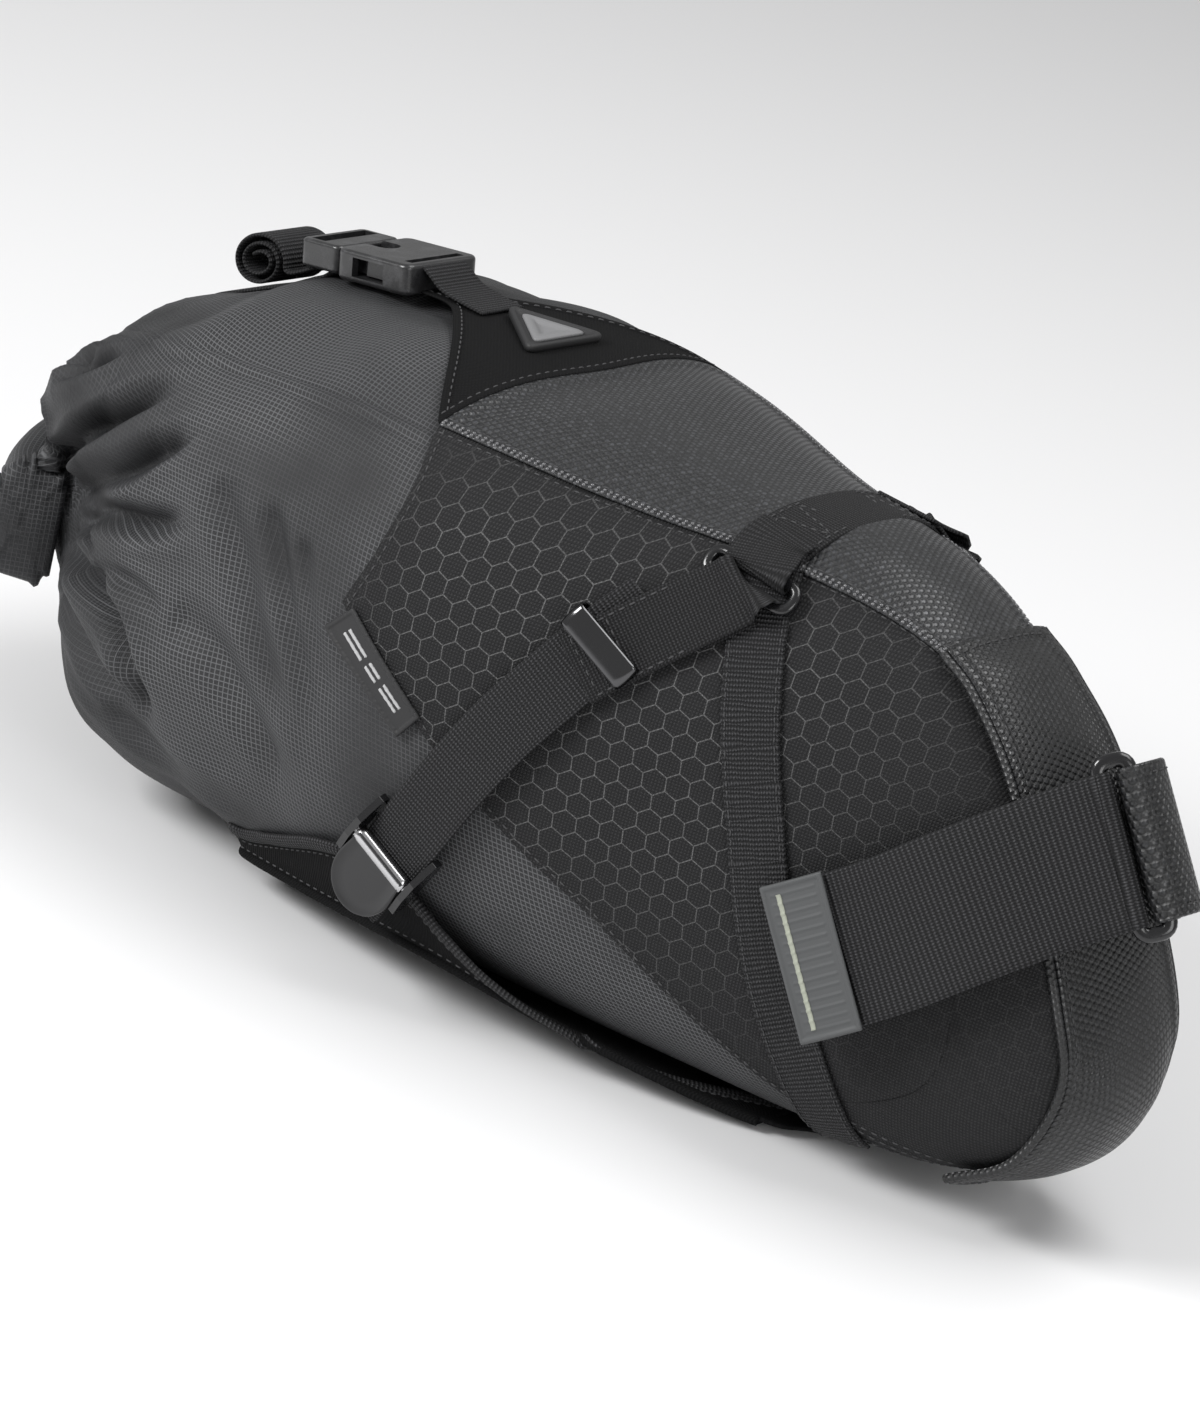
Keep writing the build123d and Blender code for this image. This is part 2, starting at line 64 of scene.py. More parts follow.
cad_low, cad_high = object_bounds()
rng = np.random.default_rng(7)

# ---- driving dimensions; the hull is rounder and its rear fuller than the CAD part's ----
# x, height of the centre, half height, half width, lean back in degrees, squareness below, above
SECTIONS = np.array([
    (-230, 103, 32, 38, 0, 2.6, 2.8),
    (-205, 97, 63, 76, 0, 2.9, 3.2),
    (-152, 98, 92, 104, 0, 3.1, 3.1),
    (-87, 103, 97, 106, 3, 3.0, 2.9),
    (-11, 102, 97, 100, 8, 3.1, 2.8),
    (64, 101, 97, 75, 14, 3.4, 2.6),
    (135, 103, 97, 51, 20, 3.5, 2.6),
    (185, 105, 80, 37, 28, 3.5, 2.9),
    (208, 107, 47, 28, 32, 3.0, 3.0),
], float)
# x, and how much wider and taller the top of the rear stands than its section
SHOULDERS = np.array([(-230, 1.50, 0.44), (-205, 0.31, 0.10), (-176, 0.06, 0.03),
                      (-145, 0.0, 0.0)])
ALONG = 380               # hull rings
AROUND = 480              # hull points in each ring, from the top by way of the right side
WEBBING = 25.0
SIDE_WEBBING = 20.0
YOKE_WEBBING = 21.0
POST_WEBBING = 50.0
WEB_THICK = 1.3
PANEL_LIFT = 1.5
SEWN_LIFT = 2.7
ROLL_REAR = -252.0
ROLL_ARC = 118.8          # radius of the rolled closure's bend, seen from above
ROLL_HALF_ANGLE = 47.8
ROLL_SIZE = (24.0, 48.0)
ROLL_HEIGHT = 88.0
NECK_START = -200.0       # behind this the fabric gathers into the roll
SOFT_WAVES = 12           # sines that make up the shell's soft unevenness


# ---- small numeric helpers ----
def unit(v):
    """Rows of v at length one."""
    return v / np.maximum(np.linalg.norm(v, axis=-1, keepdims=True), 1e-9)


def heading(line):
    """The direction of a line at each of its points."""
    return unit(np.gradient(line, axis=0))


def smoothstep(low, high, value):
    t = np.clip((value - low) / (high - low), 0, 1)
    return t * t * (3 - 2 * t)


def run_along(line):
    """Distance along a polyline at each of its points."""
    return np.concatenate([[0], np.cumsum(np.linalg.norm(np.diff(line, axis=0), axis=1))])


def circle(across, out, count):
    """An ellipse's outline from its two radii."""
    return [(across * math.cos(t), out * math.sin(t))
            for t in np.linspace(0, 2 * math.pi, count, False)]


def squared(angle, power):
    """Cosine and sine of an angle, each raised to a power with its sign kept."""
    return tuple(np.abs(f(angle)) ** power * np.sign(f(angle)) for f in (np.cos, np.sin))


def moving_average(values, reach):
    """The mean of each value and its neighbours as far as reach on both sides."""
    count = 2 * reach + 1
    return np.convolve(np.pad(values, reach, "edge"), np.ones(count) / count, "valid")


def resample(points, count, closed=False):
    """Points spaced evenly along a polyline."""
    points = np.asarray(points, float)
    if closed:
        points = np.vstack([points, points[:1]])
    run = run_along(points)
    where = np.linspace(0, run[-1], count, endpoint=not closed)
    return np.stack([np.interp(where, run, points[:, k]) for k in range(points.shape[1])], 1)


def curve(points, count):
    """A smooth line through the points, evenly spaced."""
    p = np.asarray(points, float)
    if len(p) < 3:
        return resample(p, count)
    ends = np.vstack([2 * p[0] - p[1], p, 2 * p[-1] - p[-2]])
    fine = []
    for i in range(len(p) - 1):
        a, b, c, d = ends[i:i + 4]
        t = np.linspace(0, 1, 24, endpoint=False)[:, None]
        fine.append(0.5 * (2 * b + (c - a) * t + (2 * a - 5 * b + 4 * c - d) * t**2
                           + (3 * b - a - 3 * c + d) * t**3))
    return resample(np.vstack(fine + [p[-1:]]), count)


# ---- the smooth hull ----
def sections_at(s):
    """Sections at fractional indices, on a smooth curve through the listed ones."""
    last = len(SECTIONS) - 1
    i = np.minimum(s.astype(int), last - 1)
    t = (s - i)[:, None]
    before = SECTIONS[np.maximum(i - 1, 0)]
    a = SECTIONS[i]
    b = SECTIONS[i + 1]
    after = SECTIONS[np.minimum(i + 2, last)]
    return (a * (2 * t**3 - 3 * t**2 + 1) + (b - before) / 2 * (t**3 - 2 * t**2 + t)
            + b * (3 * t**2 - 2 * t**3) + (after - a) / 2 * (t**3 - t**2))


def make_hull():
    """Points on the hull, ALONG rings of AROUND points, evenly spaced in both directions."""
    fine = np.linspace(0, len(SECTIONS) - 1, 2000)
    x_of = sections_at(fine)[:, 0]
    stations = np.interp(np.linspace(x_of[0], x_of[-1], ALONG), x_of, fine)
    rings = []
    angle = np.radians(90) + np.linspace(0, 2 * np.pi, 1440, endpoint=False)
    for x, z, half_h, half_w, lean, below, above in sections_at(stations):
        raised = smoothstep(-0.1, 0.5, np.sin(angle))
        power = 2 / (below + (above - below) * raised)
        wider, taller = (np.interp(x, SHOULDERS[:, 0], SHOULDERS[:, k]) for k in (1, 2))
        cosine, sine = squared(angle, power)
        a = half_w * cosine * (1 + wider * raised)
        b = half_h * sine * (1 + taller * raised)
        tilt = math.radians(lean)
        ring = np.stack([x - math.sin(tilt) * b, a, z + math.cos(tilt) * b], 1)
        rings.append(resample(ring, AROUND, closed=True))
    return np.array(rings)


def grid_normals(grid, closed, outward):
    """Unit normals of a grid of points, on the side that outward points to."""
    du = np.gradient(grid, axis=0)
    if closed:
        dv = np.roll(grid, -1, 1) - np.roll(grid, 1, 1)
    else:
        dv = np.gradient(grid, axis=1)
    n = unit(np.cross(du, dv))
    if (n * outward).sum() < 0:
        n = -n
    return n


def grid_faces(rows, columns, closed):
    i, j = np.meshgrid(np.arange(rows - 1), np.arange(columns if closed else columns - 1),
                       indexing="ij")
    k = (j + 1) % columns
    return np.stack([i * columns + j, i * columns + k, (i + 1) * columns + k,
                     (i + 1) * columns + j], -1).reshape(-1, 4)


HULL = make_hull()
HULL_N = grid_normals(HULL, True, HULL - HULL.mean(1, keepdims=True))
HULL_TREE = BVHTree.FromPolygons([Vector(p) for p in HULL.reshape(-1, 3)],
                                 grid_faces(ALONG, AROUND, True).tolist())


def hull_at(u, a):
    """Points and normals at fractions along and around the hull."""
    fi = np.clip(np.asarray(u, float), 0, 1) * (ALONG - 1)
    fj = np.mod(np.asarray(a, float), 1) * AROUND
    i = np.minimum(fi.astype(int), ALONG - 2)
    j = fj.astype(int) % AROUND
    k = (j + 1) % AROUND
    s = (fi - i)[..., None]
    t = (fj - np.floor(fj))[..., None]

    def between(g):
        return ((g[i, j] * (1 - s) + g[i + 1, j] * s) * (1 - t)
                + (g[i, k] * (1 - s) + g[i + 1, k] * s) * t)
    return between(HULL), unit(between(HULL_N))


def locate(point):
    """Fractions along and around the hull of the place nearest a point."""
    best = np.argmin(((HULL - np.asarray(point, float)) ** 2).sum(-1))
    return best // AROUND / (ALONG - 1), best % AROUND / AROUND


def on_hull(points, lift=0.0):
    """Points moved to the nearest place on the hull plus lift, with the normals there."""
    points = np.asarray(points, float)
    flat = points.reshape(-1, 3)
    where = np.zeros((len(flat), 2))
    for row, p in enumerate(flat):
        hit, _, face, _ = HULL_TREE.find_nearest(Vector(p))
        i, j = divmod(face, AROUND)
        corner = HULL[i, j]
        e1 = HULL[i + 1, j] - corner
        e2 = HULL[i, (j + 1) % AROUND] - corner
        d = np.array(hit) - corner
        where[row] = ((i + np.clip(d @ e1 / (e1 @ e1), 0, 1)) / (ALONG - 1),
                      (j + np.clip(d @ e2 / (e2 @ e2), 0, 1)) / AROUND)
    base, normal = hull_at(where[:, 0], where[:, 1])
    lifts = np.broadcast_to(np.asarray(lift, float).reshape(-1, 1), (len(flat), 1))
    placed = base + normal * lifts
    return placed.reshape(points.shape), normal.reshape(points.shape)


def side_point(x, z, side=-1):
    """The hull's point at a place along it and a height, on the right or left."""
    hit = HULL_TREE.ray_cast(Vector((x, side * 300, z)), Vector((0, -side, 0)))[0]
    return np.array(hit)


def top_point(x, y):
    hit = HULL_TREE.ray_cast(Vector((x, y, 400)), Vector((0, 0, -1)))[0]
    return np.array(hit)


# ---- materials ----
def scaled(tone, by):
    """A colour made darker or lighter."""
    return tuple(by * c for c in tone)


class Shader:
    """A small builder for one procedural material."""

    def __init__(self, name):
        self.material = bpy.data.materials.new(name)
        self.material.use_nodes = True
        self.tree = self.material.node_tree
        self.tree.nodes.clear()
        self.bsdf = self.tree.nodes.new("ShaderNodeBsdfPrincipled")
        output = self.tree.nodes.new("ShaderNodeOutputMaterial")
        self.tree.links.new(self.bsdf.outputs[0], output.inputs[0])

    def node(self, kind, **settings):
        made = self.tree.nodes.new("ShaderNode" + kind)
        for key, value in settings.items():
            setattr(made, key, value)
        return made

    def feed(self, socket, value):
        if isinstance(value, bpy.types.NodeSocket):
            self.tree.links.new(value, socket)
        else:
            socket.default_value = value

    def math(self, operation, a, b=0.0, c=0.0):
        made = self.node("Math", operation=operation)
        for socket, value in zip(made.inputs, (a, b, c)):
            self.feed(socket, value)
        return made.outputs[0]

    def times(self, a, b):
        return self.math("MULTIPLY", a, b)

    def vector(self, operation, a, b=(0, 0, 0), scale=None):
        made = self.node("VectorMath", operation=operation)
        self.feed(made.inputs[0], a)
        self.feed(made.inputs[1], b)
        if scale is not None:
            self.feed(made.inputs["Scale"], scale)
        return made.outputs["Value" if operation in ("DOT_PRODUCT", "LENGTH") else "Vector"]

    def cloth(self, angle=0.0):
        """Cloth coordinates in millimetres, turned by an angle in degrees."""
        uv = self.node("UVMap", uv_map="cloth").outputs[0]
        if angle:
            mapping = self.node("Mapping")
            self.feed(mapping.inputs["Vector"], uv)
            mapping.inputs["Rotation"].default_value = (0, 0, math.radians(angle))
            uv = mapping.outputs[0]
        return uv

    def place(self):
        """Object coordinates in millimetres."""
        return self.vector("SCALE", self.node("TexCoord").outputs["Object"], scale=1000.0)

    def parts(self, vector):
        return self.node_out("SeparateXYZ", vector)

    def node_out(self, kind, vector):
        made = self.node(kind)
        self.feed(made.inputs[0], vector)
        return made.outputs

    def noise(self, vector, scale, detail=3.0, rough=0.5):
        made = self.node("TexNoise")
        self.feed(made.inputs["Vector"], vector)
        made.inputs["Scale"].default_value = scale
        made.inputs["Detail"].default_value = detail
        made.inputs["Roughness"].default_value = rough
        return made.outputs["Fac"]

    def ramp(self, value, low, high, out_low=0.0, out_high=1.0):
        made = self.node("MapRange", clamp=True)
        for socket, v in zip(made.inputs, (value, low, high, out_low, out_high)):
            self.feed(socket, v)
        return made.outputs[0]

    def mix(self, factor, a, b):
        made = self.node("Mix", data_type="RGBA")
        self.feed(made.inputs["Factor"], factor)
        self.feed(made.inputs[6], (*a, 1) if isinstance(a, tuple) else a)
        self.feed(made.inputs[7], (*b, 1) if isinstance(b, tuple) else b)
        return made.outputs[2]

    def bump(self, height, distance, strength=1.0, under=None):
        made = self.node("Bump")
        self.feed(made.inputs["Height"], height)
        made.inputs["Distance"].default_value = distance * MM
        made.inputs["Strength"].default_value = strength
        if under is not None:
            self.feed(made.inputs["Normal"], under)
        return made.outputs[0]

    def finish(self, color, roughness, normal=None, **constants):
        self.feed(self.bsdf.inputs["Base Color"],
                  (*color, 1) if isinstance(color, tuple) else color)
        self.feed(self.bsdf.inputs["Roughness"], roughness)
        if normal is not None:
            self.feed(self.bsdf.inputs["Normal"], normal)
        for key, value in constants.items():
            self.bsdf.inputs[key.replace("_", " ")].default_value = value
        return self.material

    def wave(self, coordinate, pitch):
        """A sine from 0 to 1 with a period in millimetres."""
        turned = self.math("SINE", self.math("MULTIPLY", coordinate, 2 * math.pi / pitch))
        return self.math("MULTIPLY_ADD", turned, 0.5, 0.5)

    def lines(self, coordinate, pitch, width):
        """1 on thin lines that repeat every pitch, 0 between them."""
        phase = self.math("PINGPONG", coordinate, pitch / 2)
        return self.ramp(phase, width / 2, width / 2 + 0.12, 1.0, 0.0)

    def hexagons(self, vector, pitch):
        """Distance from the middle of each cell of a honeycomb: 0 there and 0.5 at its edges."""
        scaled = self.vector("SCALE", vector, scale=1.0 / pitch)
        cell = (1.0, math.sqrt(3), 1.0)
        half = (0.5, math.sqrt(3) / 2, 0.0)
        first = self.vector("SUBTRACT", self.vector("MODULO", self.vector(
            "ADD", scaled, (400.0, 400 * math.sqrt(3), 0.0)), cell), half)
        second = self.vector("SUBTRACT", self.vector("MODULO", self.vector(
            "ADD", scaled, (400.5, 400.5 * math.sqrt(3), 0.0)), cell), half)
        distances = []
        for v in (first, second):
            x, y, _ = self.parts(self.vector("ABSOLUTE", v))
            slanted = self.math("MULTIPLY_ADD", y, math.sqrt(3) / 2, self.math("MULTIPLY", x, 0.5))
            distances.append(self.math("MAXIMUM", x, slanted))
        return self.math("MINIMUM", distances[0], distances[1])


def ripstop():
    """Dark grey coated ripstop: a fine square grid of lighter threads, with painted shade that
    darkens the top of the rear and the low parts."""
    sh = Shader("ripstop")
    uv = sh.cloth()
    u, v, _ = sh.parts(uv)
    grid = sh.math("MAXIMUM", sh.lines(u, 1.75, 0.22), sh.lines(v, 1.65, 0.22))
    patches = sh.noise(sh.place(), 0.014, 2.0)
    thread = sh.ramp(patches, 0.36, 0.62, 0.0, 1.0)
    mottled = sh.noise(uv, 0.9, 4.0, 0.65)
    base = sh.mix(mottled, (0.012, 0.0123, 0.0135), (0.030, 0.0305, 0.033))
    shade = sh.ramp(sh.noise(sh.place(), 0.011, 2.0), 0.30, 0.70, 0.0, 0.6)
    base = sh.mix(shade, base, (0.008, 0.0082, 0.009))
    x, _, z = sh.parts(sh.place())
    # painted shade: the cloth is coloured darker at the top of the rear and low down, where less
    # light falls
    painted_shade_top = sh.times(sh.ramp(z, 150.0, 192.0, 0.0, 0.55), sh.ramp(x, -60.0, -100.0))
    painted_shade_low = sh.ramp(z, 60.0, 20.0, 0.0, 0.5)
    base = sh.mix(sh.math("MAXIMUM", painted_shade_top, painted_shade_low), base, (0.007, 0.0072, 0.008))
    lines = sh.mix(thread, (0.004, 0.004, 0.0045), (0.125, 0.127, 0.133))
    color = sh.mix(sh.times(grid, 0.8), base, lines)
    weave = sh.times(sh.wave(u, 0.5), sh.wave(v, 0.5))
    fine = sh.bump(sh.math("MULTIPLY_ADD", grid, 0.8, weave), 0.12)
    soft = sh.bump(sh.noise(uv, 0.12, 3.0), 1.2, 0.5, fine)
    return sh.finish(color, sh.ramp(mottled, 0.3, 0.7, 0.50, 0.66), soft,
                     Specular_IOR_Level=0.40)


def hex_print():
    """Matt black woven cloth with light hexagon outlines that fade towards the edges."""
    sh = Shader("hex_print")
    uv = sh.cloth(-8.0)
    u, v, _ = sh.parts(sh.cloth())
    cell = sh.hexagons(uv, 7.8)
    outline = sh.ramp(cell, 0.470, 0.485, 0.0, 1.0)
    worn = sh.ramp(sh.noise(sh.cloth(), 1.5, 3.0, 0.7), 0.38, 0.56, 0.35, 1.0)
    low = sh.ramp(v, 30.0, 95.0, 0.12, 1.0)
    high = sh.ramp(v, 165.0, 196.0, 1.0, 0.0)
    front = sh.ramp(u, 175.0, 95.0, 0.16, 1.0)
    shown = sh.times(sh.times(low, high), sh.times(outline, worn))
    rear = sh.ramp(u, -42.0, -18.0, 0.05, 1.0)
    shown = sh.times(shown, sh.times(front, rear))
    mottled = sh.noise(sh.cloth(), 2.2, 4.0, 0.7)
    base = sh.mix(mottled, (0.004, 0.004, 0.0045), (0.017, 0.017, 0.018))
    color = sh.mix(sh.times(shown, 0.9), base, (0.15, 0.15, 0.15))
    weave = sh.times(sh.wave(u, 1.1), sh.wave(v, 1.1))
    color = sh.mix(sh.times(weave, 0.55), color, (0.050, 0.050, 0.051))
    normal = sh.bump(sh.math("MULTIPLY_ADD", weave, 0.8, mottled), 0.3)
    return sh.finish(color, 0.8, normal, Specular_IOR_Level=0.25)


def coated(name, pitch, light, rough, emboss=0.35):
    """Coated cloth with a raised pattern of small cells."""
    sh = Shader(name)
    uv = sh.cloth()
    cell = sh.ramp(sh.hexagons(uv, pitch), 0.20, 0.46, 1.0, 0.0)
    mottled = sh.noise(uv, 0.05, 3.0, 0.6)
    base = sh.mix(mottled, scaled(light, 0.55), light)
    glint = sh.ramp(sh.noise(uv, 0.35, 3.0, 0.7), 0.45, 0.62, 0.7, 2.1)
    tops = sh.vector("SCALE", base, scale=glint)
    color = sh.mix(cell, scaled(light, 0.25), tops)
    normal = sh.bump(cell, emboss)
    return sh.finish(color, sh.ramp(cell, 0.0, 1.0, rough + 0.25, rough), normal,
                     Specular_IOR_Level=0.55, Coat_Weight=0.12, Coat_Roughness=0.35)


def twill(name, tone):
    """Heavy black twill with fine diagonal ribs."""
    sh = Shader(name)
    uv = sh.cloth(45.0)
    u, v, _ = sh.parts(uv)
    rib = sh.math("MULTIPLY_ADD", sh.wave(u, 0.9), 0.8, sh.times(sh.wave(v, 1.1), 0.3))
    mottled = sh.noise(sh.cloth(), 1.6, 4.0, 0.75)
    color = sh.mix(sh.times(rib, mottled), scaled(tone, 0.45), tone)
    return sh.finish(color, 0.86, sh.bump(sh.math("ADD", rib, mottled), 0.25),
                     Specular_IOR_Level=0.12)


def webbing(name, tone, pitch=1.55, depth=0.5):
    """Nylon webbing: ribs across it and a fine weave on them."""
    sh = Shader(name)
    uv = sh.cloth()
    u, v, _ = sh.parts(uv)
    stagger = sh.times(sh.wave(v, 1.4), 0.22)
    rib = sh.wave(sh.math("ADD", u, stagger), pitch)
    yarn = sh.wave(v, 1.0)
    height = sh.math("MULTIPLY_ADD", yarn, 0.35, rib)
    mottled = sh.noise(uv, 1.1, 4.0, 0.7)
    lit = sh.times(sh.times(rib, yarn), sh.ramp(mottled, 0.35, 0.65, 0.35, 1.0))
    color = sh.mix(lit, scaled(tone, 0.35), scaled(tone, 3.0))
    return sh.finish(color, sh.ramp(rib, 0.0, 1.0, 0.8, 0.55), sh.bump(height, depth),
                     Specular_IOR_Level=0.25)


def moulded(name, tone, rough, grain=0.03, scratch=0.0, **extra):
    """Moulded plastic, rubber or enamelled metal, with a fine grain and rubbed patches."""
    sh = Shader(name)
    p = sh.place()
    speck = sh.noise(p, 2.4, 4.0, 0.7)
    rubbed = sh.ramp(sh.noise(p, 0.12, 4.0, 0.75), 0.50, 0.72, 0.0, scratch)
    color = sh.mix(speck, scaled(tone, 0.75), tone)
    if scratch:
        color = sh.mix(rubbed, color, tuple(min(1.0, 4.5 * c) for c in tone))
    roughness = sh.ramp(speck, 0.3, 0.7, rough * 0.85, rough * 1.15)
    return sh.finish(color, roughness, sh.bump(speck, grain), **extra)


RIPSTOP = ripstop()
HEX_PRINT = hex_print()
COATED_TOP = coated("coated_top", 2.3, (0.029, 0.030, 0.033), 0.34, 0.5)
COATED_NOSE = coated("coated_nose", 2.6, (0.015, 0.0155, 0.017), 0.30, 0.6)
YOKE_TWILL = twill("yoke_twill", (0.011, 0.011, 0.0115))
SLING_TWILL = twill("sling_twill", (0.009, 0.009, 0.0095))
RIBBED = webbing("ribbed_webbing", (0.024, 0.024, 0.0255))
PLAIN_WEB = webbing("plain_webbing", (0.015, 0.015, 0.016), 1.3, 0.35)
WIDE_WEB = webbing("wide_webbing", (0.024, 0.024, 0.0255), 1.9, 0.5)
THREAD = moulded("thread", (0.050, 0.050, 0.052), 0.7)
GLOSS = moulded("gloss_black", (0.010, 0.010, 0.011), 0.18, 0.008, Specular_IOR_Level=0.6)
ENAMEL = moulded("black_enamel", (0.11, 0.11, 0.113), 0.14, 0.002, Metallic=1.0)
SATIN = moulded("satin_black", (0.016, 0.016, 0.017), 0.30, 0.03, 0.6, Specular_IOR_Level=0.7)
TAB_GREY = moulded("lever_grey", (0.019, 0.019, 0.020), 0.36, 0.02)
STEEL = moulded("steel", (0.62, 0.62, 0.63), 0.22, 0.004, Metallic=1.0)
RUBBER = moulded("badge_rubber", (0.020, 0.020, 0.021), 0.62, 0.05)
RUBBER_LIGHT = moulded("badge_rubber_light", (0.20, 0.20, 0.205), 0.55, 0.05)
TAG = moulded("tag_rubber", (0.016, 0.016, 0.017), 0.60, 0.06)
# lighter than the coated cloth it sits on: painted glints along the top panel's seams
GLINT_BEAD = moulded("painted_glint_beads", (0.10, 0.10, 0.105), 0.25, 0.01, Specular_IOR_Level=0.8)
PALE = moulded("pale_stripe", (0.36, 0.38, 0.31), 0.5)
PRINT = moulded("grey_print", (0.45, 0.45, 0.455), 0.5)
LABEL = moulded("label_rubber", (0.075, 0.078, 0.080), 0.58, 0.06)
SHEET = moulded("sheet_plastic", (0.05, 0.05, 0.05), 0.45)


# ---- mesh building ----
def in_scene(made):
    """Puts an object in the scene."""
    bpy.context.scene.collection.objects.link(made)
    return made


def new_object(name, points, faces, uvs=None, material=None, smooth=True):
    """A mesh object from points in millimetres and a list of faces; uvs are per point, in mm."""
    mesh = bpy.data.meshes.new(name)
    mesh.from_pydata((np.asarray(points) * MM).tolist(), [], [list(map(int, f)) for f in faces])
    if uvs is not None:
        layer = mesh.uv_layers.new(name="cloth")
        loops = np.zeros(len(mesh.loops), int)
        mesh.loops.foreach_get("vertex_index", loops)
        layer.data.foreach_set("uv", np.asarray(uvs, np.float32)[loops].ravel())
    if smooth:
        mesh.polygons.foreach_set("use_smooth", [True] * len(mesh.polygons))
    if material is not None:
        mesh.materials.append(material)
    mesh.update()
    return in_scene(bpy.data.objects.new(name, mesh))


def arc_coordinates(grid):
    """Distances in mm along both directions of a grid, as cloth coordinates."""
    du = np.linalg.norm(np.diff(grid, axis=0), axis=-1)
    dv = np.linalg.norm(np.diff(grid, axis=1), axis=-1)
    u = np.vstack([np.zeros(grid.shape[1]), np.cumsum(du, 0)])
    v = np.hstack([np.zeros((grid.shape[0], 1)), np.cumsum(dv, 1)])
    return np.stack([u, v - v.mean(1, keepdims=True)], -1)


def slab(name, outer, normals, thickness, material, uvs=None, body="bag", round_edge=True):
    """A closed sheet of even thickness whose outer face is a grid of points."""
    rows, columns = outer.shape[:2]
    inner = outer - normals * thickness
    middle = outer - normals * (thickness * 0.5)
    if uvs is None:
        uvs = arc_coordinates(outer)
    count = rows * columns
    faces = grid_faces(rows, columns, False)
    rim = ([(0, j) for j in range(columns)] + [(i, columns - 1) for i in range(1, rows)]
           + [(rows - 1, j) for j in range(columns - 2, -1, -1)]
           + [(i, 0) for i in range(rows - 2, 0, -1)])
    edge_points = []
    edge_uvs = []
    inward = np.array([outer[i, j] for i, j in rim])
    beyond = np.roll(inward, -1, 0) - np.roll(inward, 1, 0)
    for k, (i, j) in enumerate(rim):
        out = np.cross(beyond[k], normals[i, j])
        out /= max(np.linalg.norm(out), 1e-9)
        towards = outer[i, j] - outer[min(max(i, 1), rows - 2), min(max(j, 1), columns - 2)]
        if out @ towards < 0:
            out = -out
        grow = thickness * 0.4 if round_edge else 0.0
        edge_points.append(middle[i, j] + out * grow)
        edge_uvs.append(uvs[i, j])
    points = np.vstack([outer.reshape(-1, 3), inner.reshape(-1, 3), edge_points])
    all_uvs = np.vstack([uvs.reshape(-1, 2), uvs.reshape(-1, 2), edge_uvs])
    out_faces = faces.tolist()
    in_faces = (faces[:, ::-1] + count).tolist()
    sides = []
    for k in range(len(rim)):
        m = (k + 1) % len(rim)
        a = rim[k][0] * columns + rim[k][1]
        b = rim[m][0] * columns + rim[m][1]
        sides.append([a, b, 2 * count + m, 2 * count + k])
        sides.append([2 * count + k, 2 * count + m, b + count, a + count])
    made = new_object(name, points, out_faces + in_faces + sides, all_uvs, material)
    recalculate(made)
    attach(made, body)
    return made


def recalculate(made):
    """Makes a closed mesh's faces point outward."""
    bm = bmesh.new()
    bm.from_mesh(made.data)
    bmesh.ops.recalc_face_normals(bm, faces=bm.faces)
    bm.to_mesh(made.data)
    bm.free()


def closed_form(name, points, uvs, material, body, joined=False):
    """A solid from rings of points, with its two ends capped, or joined to each other."""
    rows, columns = points.shape[:2]
    faces = grid_faces(rows, columns, True).tolist()
    last = (rows - 1) * columns
    if joined:
        for j in range(columns):
            k = (j + 1) % columns
            faces.append([last + j, last + k, k, j])
    else:
        faces.append(list(range(columns))[::-1])
        faces.append(list(range(last, rows * columns)))
    made = new_object(name, points.reshape(-1, 3), faces, uvs.reshape(-1, 2), material)
    recalculate(made)
    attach(made, body)
    return made


def sweep(name, centres, sides, normals, section, material, body="bag", closed=False, wrap=False):
    """A solid with one outline carried along a line. section lists (across, out) in mm; wrap
    measures the cloth round the outline instead of across it."""
    section = np.asarray(section, float)
    if section.ndim == 2:
        section = np.repeat(section[None], len(centres), 0)
    points = (centres[:, None] + sides[:, None] * section[:, :, :1]
              + normals[:, None] * section[:, :, 1:])
    rows, columns = points.shape[:2]
    run = run_along(centres)
    across = section[:, :, 0]
    if wrap:
        step = np.linalg.norm(np.diff(section[0], axis=0), axis=-1)
        across = np.repeat(np.concatenate([[0], np.cumsum(step)])[None], rows, 0)
    uvs = np.stack([np.repeat(run[:, None], columns, 1), across], -1)
    return closed_form(name, points, uvs, material, body, closed)


def strap_section(width, thickness, steps=10):
    """A webbing's outline: flat faces and rounded edges."""
    half = width / 2
    r = thickness / 2
    across = np.linspace(-half + r, half - r, steps)
    top = [(a, r) for a in across]
    right = [(half - r + r * math.cos(t), r * math.sin(t)) for t in (0.8, 0.0, -0.8)]
    bottom = [(a, -r) for a in across[::-1]]
    left = [(-half + r - r * math.cos(t), r * math.sin(t)) for t in (-0.8, 0.0, 0.8)]
    return np.array(top + right + bottom + left)


def draped_strap(name, points, width, lift, material):
    """Webbing that lies on the hull along a line, bent to it across its width."""
    line = curve(points, 200)
    length = np.linalg.norm(np.diff(line, axis=0), axis=1).sum()
    line, normals = on_hull(curve(points, max(12, int(length / 1.6))), lift)
    tangents = heading(line)
    sides = unit(np.cross(normals, tangents))
    section = strap_section(width, WEB_THICK)
    flat = line[:, None] + sides[:, None] * section[None, :, :1]
    _, local = on_hull(flat)
    base, _ = on_hull(flat, lift)
    placed = base + local * section[None, :, 1:]
    rows, columns = placed.shape[:2]
    run = run_along(line)
    uvs = np.stack([np.repeat(run[:, None], columns, 1),
                    np.repeat(section[None, :, 0], rows, 0)], -1)
    return closed_form(name, placed, uvs, material, "bag"), line, sides, normals


STITCH = (2.3, 0.30, 1.5)   # length, radius, gap


